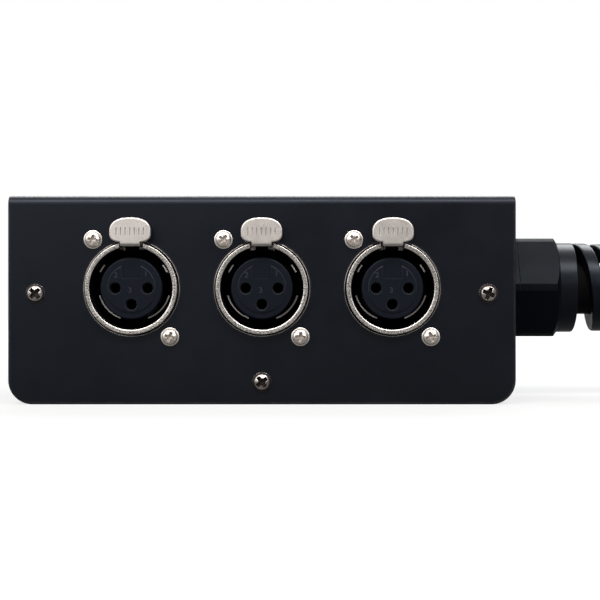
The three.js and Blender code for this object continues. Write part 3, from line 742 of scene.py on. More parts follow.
@dataclass
class FoldedSheet:
    """A sheet cut to an outline with holes, folded over two bends, with every edge rounded."""

    name: str
    span: float
    height: float
    bend: float
    thickness: float
    outer_edge: float
    inner_edge: float
    hole_edge: float
    bend_steps: int = 10
    edge_steps: int = 3

    @property
    def arc_length(self) -> float:
        """The outer length of one bend."""
        return self.bend * math.pi / 2

    @property
    def length(self) -> float:
        """The outer length of the whole sheet across its bends."""
        return 2 * (self.height - self.bend) + self.span - 2 * self.bend + 2 * self.arc_length

    def creases(self) -> list[float]:
        """Gives the places across the sheet where it turns.

        Returns:
            The places, from one edge to the other.
        """
        first = self.height - self.bend
        second = first + self.arc_length + self.span - 2 * self.bend
        steps = [self.arc_length * i / self.bend_steps for i in range(self.bend_steps + 1)]
        return [first + s for s in steps] + [second + s for s in steps]

    def folded(self, s: float, depth: float) -> Point2:
        """Folds one place of the sheet.

        Args:
            s: the place across the sheet, along its outer face.
            depth: how deep in the sheet it is.

        Returns:
            Its place across the folded shape, and its height above the open edges.
        """
        if s > self.length / 2:
            across, up = self.folded(self.length - s, depth)
            return -across, up
        half, rise = self.span / 2, self.height - self.bend
        if s <= rise:
            return -half + depth, s
        if s >= rise + self.arc_length:
            return -half + self.bend + s - rise - self.arc_length, self.height - depth
        turn, reach = (s - rise) / self.bend, self.bend - depth
        return -half + self.bend - reach * math.cos(turn), rise + reach * math.sin(turn)

    def outline(self, half_width: float, radius: float, steps: int) -> Loop:
        """Gives the sheet's own outline, with a point on each side at every crease.

        Args:
            half_width: half its width along the bends.
            radius: its corners' radius.
            steps: the facets of each corner.

        Returns:
            The outline for an inset.
        """
        def points(inset: float) -> list[Point2]:
            """Gives the outline's points.

            Args:
                inset: how far inside the sheet it runs.

            Returns:
                The points.
            """
            edge, r = half_width - inset, radius - inset
            corners = corner_arcs(-edge, edge, inset, self.length - inset, r, steps)
            loop = corners[0] + corners[1] + [(edge, s) for s in self.creases()]
            return loop + corners[2] + corners[3] + [(-edge, s) for s in reversed(self.creases())]
        return points

    def rows(self, outer_edge: float) -> list[Point2]:
        """Gives a rounded rim as insets and depths, from the sheet's outer to its inner face."""
        return rim(outer_edge, self.inner_edge, 0.0, self.thickness, self.edge_steps)

    def make(self, outline: Loop, holes: Sequence[Loop],
             place: Callable[[float, float, float], Point3]) -> Blank:
        """Makes the folded sheet.

        Args:
            outline: its outline.
            holes: its holes, each growing with the inset.
            place: takes the width, the folded place and the height to a point.

        Returns:
            The closed piece.
        """
        points: list[Point3] = []
        faces: list[list[int]] = []

        def corner(width: float, s: float, depth: float) -> Point3:
            """Folds and places one point."""
            return place(width, *self.folded(s, depth))

        loops = [outline(self.outer_edge)] + [hole(-self.hole_edge) for hole in holes]
        flat = [Vector(p) for loop in loops for p in loop]
        edges, start = [], 0
        for loop in loops:
            edges += [(start + i, start + (i + 1) % len(loop)) for i in range(len(loop))]
            start += len(loop)
        outer = loops[0]
        for s in self.creases():
            ends = sorted((p[0], i) for i, p in enumerate(outer) if abs(p[1] - s) < 1e-6)
            edges.append((ends[0][1], ends[-1][1]))
        made, _, triangles, *_ = delaunay_2d_cdt(flat, edges, [], 0, 1e-6)
        kept = []
        for triangle in triangles:
            u, v = (sum(made[i][k] for i in triangle) / 3 for k in (0, 1))
            if inside_loop(u, v, outer) and not any(inside_loop(u, v, loop) for loop in loops[1:]):
                kept.append(list(triangle))
        for depth, flip in ((0.0, False), (self.thickness, True)):
            start = len(points)
            points += [corner(p[0], p[1], depth) for p in made]
            faces += [[start + i for i in (reversed(t) if flip else t)] for t in kept]
        for k, loop in enumerate([outline, *holes]):
            sign, rows = (1, self.rows(self.outer_edge)) if k == 0 else (-1, self.rows(self.hole_edge))
            start, n = len(points), len(loop(0.0))
            for inset, depth in rows:
                points += [corner(u, s, depth) for u, s in loop(sign * inset)]
            faces += strips([[start + j * n + i for i in range(n)] for j in range(len(rows))])
        return Blank(self.name, points, faces)


def inside_loop(u: float, v: float, loop: Sequence[Point2]) -> bool:
    """Says whether the point u, v lies inside a closed loop."""
    crossed = [(va > v) != (vb > v) and u < (ub - ua) * (v - va) / (vb - va) + ua
               for (ua, va), (ub, vb) in zip(loop, [*loop[1:], loop[0]])]
    return sum(crossed) % 2 == 1


def round_hole(u: float, v: float, radius: float, sides: int) -> Loop:
    """Gives a round hole, which shrinks with the inset that it is given."""
    return lambda inset: ring(u, v, radius - inset, sides)


def key_hole(u: float, v: float, radius: float, slot: float, top: float, sides: int) -> Loop:
    """Gives a round hole with a slot up from it.

    Args:
        u: its centre's first coordinate.
        v: its second.
        radius: the round part's radius.
        slot: half the slot's width.
        top: the slot's top above the centre.
        sides: the facets of the round part.

    Returns:
        The hole for an inset.
    """
    def points(inset: float) -> list[Point2]:
        """Gives the hole's points.

        Args:
            inset: how far inside the hole's edge they run.

        Returns:
            The points.
        """
        r, w, t = radius - inset, slot - inset, top - inset
        lean = math.degrees(math.asin(w / r))
        return arc(u, v, r, 90 - lean, -270 + lean, sides) + [(u - w, v + t), (u + w, v + t)]
    return points


@dataclass
class Box:
    """The bent cover and the base tray in it."""

    width: float = 125.5
    depth: float = 84.0
    height: float = 51.6
    sheet: float = 1.5
    bend: float = 2.2
    corner: float = 6.0
    edge: float = 0.45
    gap: float = 0.3
    socket_places: tuple[float, ...] = (-32.2, 0.0, 32.2)
    socket_height: float = 28.7
    socket_hole: float = 11.7
    latch_slot: float = 2.95
    latch_slot_top: float = 13.4
    slot_foot: float = 10.9
    socket_screw_across: float = 9.5
    socket_screw_up: float = 12.0
    screw_hole: float = 1.65
    cover_screw_across: float = 55.9
    cover_screw_height: float = 27.4
    cover_screw_low: float = 5.6
    lip_edge: float = 47.4
    lip_height: float = 11.0
    side_lip_low: float = 14.0
    side_lip_drop: float = 3.0
    gland_height: float = 29.2
    gland_hole: float = 11.4

    def screw_places(self) -> list[Point2]:
        """Gives the places of the cover's screws, seen from the front."""
        side, up = self.cover_screw_across, self.cover_screw_height
        return [(-side, up), (side, up), (0.0, self.cover_screw_low)]

    def cover(self) -> Blank:
        """Makes the cover: front, top and back in one sheet.

        Returns:
            The piece.
        """
        sheet = FoldedSheet("cover_sheet", self.depth, self.height, self.bend, self.sheet, self.edge,
                            inner_edge=0.15, hole_edge=0.2)
        holes = []
        for x in self.socket_places:
            holes.append(key_hole(x, self.socket_height, self.socket_hole, self.latch_slot,
                                  self.latch_slot_top, 72))
            for side in (-1, 1):
                up = self.socket_height - side * self.socket_screw_up
                holes.append(round_hole(x + side * self.socket_screw_across, up, self.screw_hole, 24))
        for x, z in self.screw_places():
            holes.append(round_hole(x, z, self.screw_hole, 24))
            holes.append(round_hole(x, sheet.length - z, self.screw_hole, 24))
        cover = sheet.make(sheet.outline(self.width / 2, self.corner, 14), holes, lambda x, y, z: (x, y, z))
        reach = self.socket_hole + 0.24

        def is_lit_hole_rim(face: Vector) -> bool:
            """Says whether a face lies on the front edge of a socket's round hole, which is painted as bright
            metal for the highlight that the edge catches.
            """
            up, ahead = face.z - self.socket_height, face.y < 0.19 - self.depth / 2
            return ahead and up < self.slot_foot and any(
                math.hypot(face.x - x, up) < reach for x in self.socket_places)
        return cover.mark(is_lit_hole_rim)

    def tray(self) -> Blank:
        """Makes the tray: bottom and two ends in one sheet, with its lips behind the panels.

        Returns:
            The piece.
        """
        top = self.height - self.sheet - self.gap
        half_depth = self.depth / 2 - self.sheet - self.gap
        sheet = FoldedSheet("base_tray_sheet", self.width - 2 * self.gap, top, self.corner - self.gap,
                            self.sheet, outer_edge=1.35, inner_edge=0.1, hole_edge=0.3, bend_steps=14,
                            edge_steps=4)
        hole = round_hole(0.0, sheet.length - top + self.gland_height, self.gland_hole, 48)
        tray = sheet.make(sheet.outline(half_depth, 1.6, 3), [hole], lambda y, x, z: (x, y, top - z))
        inner = self.width / 2 - self.gap - self.sheet
        lips = []
        for side in (-1, 1):
            near, far = sorted((side * half_depth, side * (half_depth - self.sheet)))
            for edges in ((-self.lip_edge, self.lip_edge, 1.0, self.lip_height),
                          (self.lip_edge, inner, self.side_lip_low, top - self.side_lip_drop),
                          (-inner, -self.lip_edge, self.side_lip_low, top - self.side_lip_drop)):
                lips.append(prism("lip", box_outline(*edges), Axis.Y, near, far).soften(0.3))
        return tray.gather(*lips)

    def dress(self) -> None:
        """Makes and dresses the sheet metal."""
        self.cover().finish(Look.POWDER_COAT, "black_steel", ["cover"], Look.HOLE_RIM_HIGHLIGHT)
        self.tray().finish(Look.POWDER_COAT, "black_steel", ["base_tray"])


@cache
def set_on_points() -> Tree:
    """Builds the Geometry Nodes tree that sets a master piece on each point of a mesh.

    Returns:
        The tree.
    """
    sockets = {"Places": "Geometry", "Master": "Object", "Finish": "Material"}
    board = Board.group("GeometryNodeTree", "set_on_points", sockets, {"Pieces": "Geometry"})
    master = board.add("GeometryNodeObjectInfo", {"Object": board.given["Master"], "As Instance": True})
    turn = board.add("GeometryNodeInputNamedAttribute", {"Name": "turn"}, data_type="FLOAT_VECTOR").outputs[0]
    placed = board.add("GeometryNodeInstanceOnPoints", {
        "Points": board.given["Places"], "Instance": master.outputs["Geometry"],
        "Rotation": board.add("FunctionNodeEulerToRotation", {0: turn}).outputs[0]})
    return board.deliver(placed.outputs[0])
@dataclass
class Screw:
    """A pan head screw with a cross recess, its head towards -Y and its underside at zero."""

    head_radius: float = 2.3
    head_height: float = 1.5
    shank_radius: float = 1.35
    length: float = 7.0
    dome_share: float = 0.81
    crown_share: float = 0.36
    bright_rim: float = 0.16
    recess_reach: float = 1.45
    recess_width: float = 0.8
    recess_depth: float = 1.0
    tip_share: float = 0.7
    sides: int = 48

    def make(self) -> Blank:
        """Makes one screw.

        Returns:
            The piece.
        """
        r, h, d = self.head_radius, self.head_height, self.head_radius * self.dome_share
        rise = h * self.crown_share
        crown = [(d * share, -h + rise * share ** 2.4) for share in (0.0, 0.25, 0.45, 0.62, 0.76, 0.87, 0.95)]
        edge = [(d, -h + rise * 1.25), (d + 0.03, -h * 0.22), (r - 0.14, -h * 0.22), (r - 0.04, -h * 0.19),
                (r, -h * 0.13), (r, -0.04), (r - 0.04, 0.0)]
        shank = [(self.shank_radius, 0.0), (self.shank_radius, self.length - 0.4),
                 (self.shank_radius - 0.4, self.length), (0.0, self.length)]
        body = turned("screw", crown + edge + shank, Axis.Y, self.sides)
        arms = []
        half = self.recess_width / 2
        for turn in (0.0, math.pi / 2):
            top, foot = self.recess_reach, self.recess_reach * 0.55
            front, back = -h - 0.4, -h + self.recess_depth
            outline = [(-top - 0.25, front), (top + 0.25, front), (foot, back), (-foot, back)]
            arm = prism("arm", outline, Axis.Z, -half, half)
            for corner in arm.thing.data.vertices:
                if corner.co.y > -h + 0.2:
                    corner.co.z *= self.tip_share
            arms.append(arm.put(turn=turn, about=Axis.Y))
        waist = turned("waist", [(0.0, -h - 0.4), (half * 1.75, -h - 0.4), (half * 1.35, -h + 0.25),
                                 (half * 0.7, -h + self.recess_depth), (0.0, -h + self.recess_depth * 1.15)],
                       Axis.Y, 16)
        body.shape(Shaping.CUT, *arms, waist).tidy().soften(0.07, 2, 40)

        def in_recess(face: Vector) -> bool:
            """Says whether a face lies inside the cross recess or in the groove round the dome, where a
            darker finish is painted as shade.

            Args:
                face: the face's middle.

            Returns:
                True when it does.
            """
            reach = math.hypot(face.x, face.z)
            in_cross = reach < self.recess_reach + 0.2 and face.y > 0.14 - h + rise * (reach / d) ** 2.4
            on_rim = d - 0.02 < reach < r - self.bright_rim and face.y > -h * 0.6
            return face.y < 0 and (in_cross or on_rim)
        return body.mark(in_recess)


@dataclass
class Screws:
    """The screws of the cover and of the sockets."""

    cover_turns: tuple[float, ...] = (44.0, 24.0, 52.0)
    back_turns: tuple[float, ...] = (15.0, 61.0, 33.0)
    socket_turns: tuple[float, ...] = (12.0, 20.0, 38.0, 5.0, 52.0, 71.0)

    def dress(self, box: Box) -> None:
        """Makes and dresses both kinds.

        Args:
            box: the box that they are driven into.
        """
        places, turns, nodes = [], [], []
        for face, angles in ((Face.FRONT, self.cover_turns), (Face.BACK, self.back_turns)):
            for (x, z), angle, word in zip(box.screw_places(), angles, ("left", "right", "low")):
                places.append((x, -box.depth / 2 if face is Face.FRONT else box.depth / 2, z))
                turns.append((0.0, math.radians(angle), face.value))
                nodes.append(f"cover_screw_{face.name.lower()}_{word}")
        master = Screw(2.4, 1.55, length=7.0, dome_share=0.83, crown_share=0.48, bright_rim=0.09,
                       recess_reach=1.9, recess_width=1.15, recess_depth=1.3).make()
        master.repeat("cover_screws", places, turns, Look.DARK_NICKEL).finish(
            Look.DARK_NICKEL, "dark_nickel", nodes, Look.SCREW_HOLLOW_SHADE)

        places, turns, nodes = [], [], []
        for number, x in enumerate(box.socket_places, 1):
            for side, word in ((-1, "upper"), (1, "lower")):
                places.append((x + side * box.socket_screw_across, -box.depth / 2,
                               box.socket_height - side * box.socket_screw_up))
                turns.append((0.0, math.radians(self.socket_turns[len(turns)]), 0.0))
                nodes.append(f"socket_{number}_screw_{word}")
        Screw(length=7.5).make().repeat("socket_screws", places, turns, Look.NICKEL).finish(
            Look.NICKEL, "nickel", nodes, Look.NICKEL_HOLLOW_SHADE)


@dataclass
class Socket:
    """The latching panel sockets, drawn about one axis with the panel's outer face at zero."""

    bore: float = 10.05
    ring_radius: float = 11.4
    ring_proud: float = 1.8
    ring_edge: float = 0.55
    flange_width: float = 26.0
    flange_height: float = 31.0
    flange_front: float = 1.5
    flange_back: float = 3.5
    barrel_radius: float = 11.6
    barrel_back: float = 22.0
    web_front: float = 16.0
    web_back: float = 18.0
    groove_inset: float = 0.36
    groove: tuple[Point2, ...] = ((-0.12, 0.0), (-0.05, 0.13), (0.05, 0.13), (0.1, 0.02))
    rim_round: float = 0.24
    slot: float = 2.95
    cheek_top: float = 14.2
    housing_back: float = 13.5
    carrier_radius: float = 7.7
    carrier_front: float = -0.9
    disc_radius: float = 6.0
    disc_proud: float = 0.35
    shoulder_radius: float = 9.6
    carrier_back: float = 23.5
    key_half: float = 2.3
    key_low: float = 2.35
    key_depth: float = 0.35
    contact_circle: float = 4.0
    contact_angles: tuple[float, ...] = (0.0, 180.0, 270.0)
    mouth: float = 1.375
    contact_room: float = 1.85
    contact_radius: float = 1.6
    contact_bore: float = 1.2
    contact_back: float = 21.5
    cup_radius: float = 1.15
    cup_bore: float = 0.8
    cup_back: float = 28.5
    spring_radius: float = 8.55
    spring_half: float = 0.65
    tongue_angles: Point2 = (191.5, 53.5)
    tongue_radii: Point2 = (8.9, 0.7)
    tongue_half: float = 0.25
    tongue_depth: float = 6.5
    nib_depth: float = 5.0
    tab_half: float = 5.1
    tab_low: float = 11.15
    tab_waist: float = 13.8
    tab_high: float = 17.3
    tab_arch: float = 2.4
    tab_foot: float = 3.4
    tab_thick: float = 1.4
    tab_proud: float = 3.8
    strokes: int = 7
    stroke_pitch: float = 1.12
    stroke_half: float = 0.17
    stroke_middle: float = 13.85
    stroke_reach: float = 1.0
    stroke_depth: float = 0.55
    neck_half: float = 2.45
    neck_low: float = 10.25
    arm_thick: float = 1.2
    arm_step: float = 0.22
    bare_front: float = -1.1
    tooth_drop: float = 1.0
    tooth_half: float = 1.6
    pin_depth: float = 6.0
    pin_height: float = 12.3
    boss: float = 1.3
    tail: float = 3.2
    leaf_thick: float = 0.25
    leaf_half: float = 1.9
    leaf_low: float = 12.05
    leaf_root: float = 9.75
    leaf_back: float = 11.9
    numbers: tuple[tuple[str, float, float], ...] = (("2", -3.8, 3.2), ("1", 3.6, 3.5), ("3", -0.3, -0.55))
    number_size: float = 1.95
    number_depth: float = 0.1
    sides: int = 96

    def contact_places(self) -> list[Point2]:
        """Gives the middles of the three contacts."""
        turns = [math.radians(a) for a in self.contact_angles]
        return [(self.contact_circle * math.cos(t), self.contact_circle * math.sin(t)) for t in turns]

    def frame(self) -> Blank:
        """Makes the ring, flange, barrel and latch housing.

        Returns:
            The piece.
        """
        b, r, p, e = self.bore, self.ring_radius, -self.ring_proud, self.ring_edge
        groove = [(r - self.groove_inset + u, p + v) for u, v in self.groove]
        outer = arc(r - self.rim_round, p + self.rim_round + 0.02, self.rim_round, 270, 360, 5)
        web, barrel, back = self.carrier_radius + 0.3, self.barrel_radius, self.barrel_back
        profile = arc(b + e, p + e, e, 180, 270, 8) + groove + outer + [
            (r, self.flange_back), (barrel, self.flange_back), (barrel, back), (b, back), (b, self.web_back),
            (web, self.web_back), (web, self.web_front), (b, self.web_front)]
        body = turned("socket_frame", profile + [profile[0]], Axis.Y, self.sides)
        across, up = self.flange_width / 2, self.flange_height / 2
        flange = prism("flange", box_outline(-across, across, -up, up, 3), Axis.Y, self.flange_front,
                       self.flange_back)
        cheek = self.slot + 1.6
        housing = prism("housing", box_outline(-cheek, cheek, 9.0, self.cheek_top), Axis.Y,
                        self.flange_back - 0.2, self.housing_back)
        wide = b + 0.25
        bore = turned("bore", [(0.0, -9.0), (wide, -9.0), (wide, 14.0), (0.0, 14.0)], Axis.Y, self.sides)
        extra = flange.shape(Shaping.JOIN, housing).shape(Shaping.CUT, bore)
        cut = prism("slot", box_outline(-self.slot, self.slot, 8.0, self.cheek_top + 1), Axis.Y, -6.0,
                    self.pin_depth + self.tail + 0.3)
        body.shape(Shaping.JOIN, extra).shape(Shaping.CUT, cut).tidy()
        # The bore's inside gets the near-black finish: partly a dark liner, partly painted shade.
        return body.mark(lambda face: face.y > p + 0.1 and math.hypot(face.x, face.z) < b + 0.24)

    def carrier(self) -> Blank:
        """Makes the insert with its raised disc, key recess and contact holes.

        Returns:
            The piece.
        """
        f, r, d = self.carrier_front, self.carrier_radius, self.disc_radius
        shelf = f + self.disc_proud
        profile = [(0.0, f)] + arc(d - 0.18, f + 0.18, 0.18, 270, 360, 4) + [(d, shelf)]
        profile += arc(r - 0.45, shelf + 0.45, 0.45, 270, 360, 5)
        profile += [(r, self.web_back), (self.shoulder_radius, self.web_back),
                    (self.shoulder_radius, self.carrier_back), (0.0, self.carrier_back)]
        body = turned("carrier", profile, Axis.Y, self.sides)
        cutters = []
        for x, z in self.contact_places():
            m = self.mouth
            hole = [(0.0, f - 1), (m + 0.18, f - 1), (m + 0.18, f), (m + 0.05, f + 0.17), (m, f + 0.34),
                    (m, f + 1.7), (self.contact_room, f + 1.7), (self.contact_room, self.carrier_back + 1),
                    (0.0, self.carrier_back + 1)]
            cutters.append(turned("hole", hole, Axis.Y, 32).put(x, 0.0, z))
        w, low = self.key_half, self.key_low
        key = [(-w - 0.1, f - 0.2), (w + 0.1, f - 0.2), (w, f + 0.1), (w, f + self.key_depth),
               (-w, f + self.key_depth), (-w, f + 0.1)]
        cutters.append(prism("key", key, Axis.Z, low, d + 0.4))
        body.shape(Shaping.CUT, *cutters).tidy()

        def is_lit_edge(face: Vector) -> bool:
            """Says whether a face is on an edge painted lighter as a highlight: of the disc, the key recess
            or a hole.

            Args:
                face: the face's middle.

            Returns:
                True when it is.
            """
            away = math.hypot(face.x, face.z)
            on_disc = d - 0.17 < away < d + 0.02 and f + 0.01 < face.y < shelf
            on_key = abs(face.z - low) < 0.05 and abs(face.x) < w and face.y > f + 0.02
            on_hole = any(self.mouth - 0.02 < math.hypot(face.x - x, face.z - z) < self.mouth + 0.19
                          for x, z in self.contact_places()) and f + 0.01 < face.y < shelf
            return on_disc or on_key or on_hole
        return body.mark(is_lit_edge)

    def contact(self) -> Blank:
        """Makes one spring socket contact with its solder cup.

        Returns:
            The piece.
        """
        front, bore, r = self.carrier_front + 2.0, self.contact_bore, self.contact_radius
        profile = [(0.0, 14.0), (bore, 14.0), (bore, front), (bore + 0.1, front - 0.08),
                   (r - 0.1, front - 0.08), (r, front), (r, self.contact_back),
                   (self.cup_radius, self.contact_back), (self.cup_radius, self.cup_back),
                   (self.cup_bore, self.cup_back), (self.cup_bore, 24.0), (0.0, 24.0)]

        def in_hole_shade(face: Vector) -> bool:
            """Says whether a face is at the mouth or inside the bore, which get a near-black brass painted as
            the shade inside the hole.
            """
            return face.y < 15 and (face.y < front + 0.3 or math.hypot(face.x, face.z) < bore + 0.05)
        return turned("contact", profile, Axis.Y, 24).mark(in_hole_shade)

    def spring(self) -> Blank:
        """Makes the ground spring: a ring with two tongues that lean in towards the insert.

        Returns:
            The piece.
        """
        back = self.web_front - 0.3
        inner, outer = self.spring_radius - self.spring_half, self.spring_radius + self.spring_half
        body = turned("ring", [(inner, back - 0.6), (outer, back - 0.6), (outer, back), (inner, back),
                               (inner, back - 0.6)], Axis.Y, self.sides)
        for side in (1, -1):
            line = []
            for i in range(25):
                turn = math.radians(self.tongue_angles[0] + self.tongue_angles[1] * i / 24)
                radius = self.tongue_radii[0] - self.tongue_radii[1] * i / 24
                line.append((side * radius * math.cos(turn), radius * math.sin(turn), turn))

            def strip(inset: float) -> list[Point2]:
                """Gives the tongue's outline with round ends."""
                far, near = [[(x + side * wide * math.cos(t), z + wide * math.sin(t)) for x, z, t in line]
                             for wide in (self.tongue_half - inset, inset - self.tongue_half)]
                return far + near[::-1]
            body.gather(rounded_plate("tongue", strip, Axis.Y, self.tongue_depth, back - 0.3, 0.12, 3))
            nib = [(side * u, v) for u, v in arc(0, 0, 9.5, 26, 39, 6) + arc(0, 0, 9.15, 39, 26, 6)]
            body.gather(prism("nib", nib, Axis.Y, self.nib_depth, back - 0.3))
        # The ring behind the tongues gets the near-black finish, painted as the shade deep in the socket.
        return body.mark(lambda face: face.y > self.tongue_depth + 2.5)

    def tab_outline(self, inset: float) -> list[Point2]:
        """Gives the tab's outline: arched above its widest place, squarer below it.

        Args:
            inset: how far inside the edge it runs.

        Returns:
            Its points.
        """
        points = []
        for i in range(88):
            turn = 2 * math.pi * i / 88
            c, s = math.cos(turn), math.sin(turn)
            power = 2 / (self.tab_arch if s > 0 else self.tab_foot)
            tall = (self.tab_high - self.tab_waist if s > 0 else self.tab_waist - self.tab_low) - inset
            points.append((math.copysign(abs(c) ** power, c) * (self.tab_half - inset),
                           self.tab_waist + math.copysign(abs(s) ** power, s) * tall))
        return points

    def latch(self) -> Blank:
        """Makes the press tab with its neck, arm, tooth, boss and tail.

        Returns:
            The piece.
        """
        front, low = -self.tab_proud, self.neck_low
        back, high = front + self.tab_thick, low + self.arm_thick
        tab = rounded_plate("latch_tab", self.tab_outline, Axis.Y, front, back, 0.35, 5)
        w, pin, rise = self.neck_half, self.pin_depth, self.pin_height
        boss_front, drop = pin - self.boss, low - self.tooth_drop
        stepped, bare = low + self.arm_step, self.bare_front
        neck = [(front + 0.6, low), (back, low), (back, 14.0), (front + 0.01, 14.0),
                (front + 0.01, low + 0.6)]
        arm = [(back - 0.6, low), (bare, low), (bare + 0.2, stepped), (boss_front, stepped),
               (pin, rise - self.boss), (pin, rise), (boss_front, rise), (boss_front - self.arm_thick, high),
               (back - 0.6, high)]
        tooth = [(-0.4, low + 0.6), (1.2, drop), (3.0, drop), (3.0, low + 0.6)]
        boss, tail = ring(pin, rise, self.boss, 32), box_outline(pin, pin + self.tail, rise, rise + 1.0)
        parts = [prism(name, outline, Axis.X, -half, half).soften(edge, 2, angle)
                 for name, outline, half, edge, angle in (
                     ("neck", neck, w, 0.14, 35), ("arm", arm, w, 0.12, 35),
                     ("tooth", tooth, self.tooth_half, 0.12, 35), ("boss", boss, w, 0.1, 50),
                     ("tail", tail, w, 0.12, 35))]
        body = tab.shape(Shaping.JOIN, *parts)
        hole = prism("hole", ring(pin, rise, 0.95, 24), Axis.X, -9.0, 9.0)
        strokes = []
        foot, top = self.stroke_middle - self.stroke_reach, self.stroke_middle + self.stroke_reach
        for i in range(self.strokes):
            x = (i - self.strokes // 2) * self.stroke_pitch
            outline = box_outline(x - self.stroke_half, x + self.stroke_half, foot, top, 0.16, 3)
            strokes.append(prism("stroke", outline, Axis.Y, front - 1, front + self.stroke_depth))
        body.shape(Shaping.CUT, hole, *strokes).tidy()
        # The arm's underside behind the panel gets the near-black finish, painted as shade.
        return body.mark(lambda face: face.z < low + 0.5 and face.y > bare)

    def leaf(self) -> Blank:
        """Makes the flat spring under the latch's tail, with rows of points along it towards its root.

        Returns:
            The piece.
        """
        tip, bend, root = self.pin_depth + self.boss + 0.3, self.pin_depth + self.tail, self.leaf_root
        low, high = self.leaf_low, self.pin_height - 0.3
        steps = [bend + (root - bend) * i / 6 for i in range(7)]
        under = [(tip, high - self.leaf_thick)] + [(y, low) for y in steps + [self.leaf_back]]
        over = [(y, low + self.leaf_thick) for y in [self.leaf_back] + steps[::-1]] + [(tip, high)]
        return prism("latch_leaf", under + over, Axis.X, -self.leaf_half, self.leaf_half)

    def numerals(self) -> Blank:
        """Makes the plain pin numbers that stand on the insert.

        Returns:
            All three as one piece.
        """
        pieces = []
        for text, x, z in self.numbers:
            curve = bpy.data.curves.new("number", "FONT")
            curve.body, curve.size = text, self.number_size
            curve.align_x = curve.align_y = "CENTER"
            curve.extrude, curve.resolution_u = self.number_depth, 6
            writing = linked("number", curve)
            bpy.context.view_layer.update()
            piece = Blank("number").take(bpy.data.meshes.new_from_object(writing))
            bpy.data.objects.remove(writing)
            piece.put(turn=math.pi / 2, about=Axis.X).put(x, self.carrier_front - 0.02, z)
            pieces.append(piece.tidy())
        # The numbers take the lighter finish all over, as a painted highlight on their raised faces.
        return pieces[0].gather(*pieces[1:]).mark(lambda face: True)

    def dress(self, box: Box) -> None:
        """Makes one socket's pieces and sets them in each place.

        Args:
            box: the box that holds them.
        """
        front, height = -box.depth / 2, box.socket_height
        insert = self.carrier().gather(self.numerals())
        rows = (("frame", self.frame(), Look.RING_NICKEL, "nickel", Look.SHADE_AND_LINER),
                ("contact_carrier", insert, Look.INSERT, "carrier_plastic", Look.INSERT_HIGHLIGHT),
                ("ground_spring", self.spring(), Look.SATIN_NICKEL, "nickel", Look.SHADE_AND_LINER),
                ("latch_tab", self.latch(), Look.SATIN_NICKEL, "nickel", Look.SHADE_AND_LINER))
        for number, x in enumerate(box.socket_places, 1):
            for word, master, look, slot, second in rows:
                node, body = f"socket_{number}_{word}", f"latch_{number}" if word == "latch_tab" else "box"
                master.twin(f"{node}_dressed").put(x, front, height).finish(look, slot, [node], second, body)
        leaf = self.leaf()
        for number, x in enumerate(box.socket_places, 1):
            node = f"socket_{number}_latch_leaf"
            strip = leaf.twin(f"{node}_dressed").put(x, front, height).finish(
                Look.DARK_NICKEL, "dark_nickel", [node], body=None)
            root, tail = [(x * MM, (front + y) * MM, (height + self.leaf_low) * MM)
                          for y in (self.leaf_root, self.pin_depth + self.tail)]
            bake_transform(strip)
            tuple(root)
            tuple(tail)
        for master in (leaf, *(row[1] for row in rows)):
            master.drop()
        places, nodes = [], []
        for number, x in enumerate(box.socket_places, 1):
            for order, (u, v) in enumerate(self.contact_places(), 1):
                places.append((x + u, front, height + v))
                nodes.append(f"socket_{number}_contact_{order}")
        turns = [(0.0, 0.0, 0.0)] * len(places)
        self.contact().repeat("socket_contacts", places, turns, Look.BRASS).finish(
            Look.BRASS, "contact_brass", nodes, Look.BRASS_HOLE_SHADE)


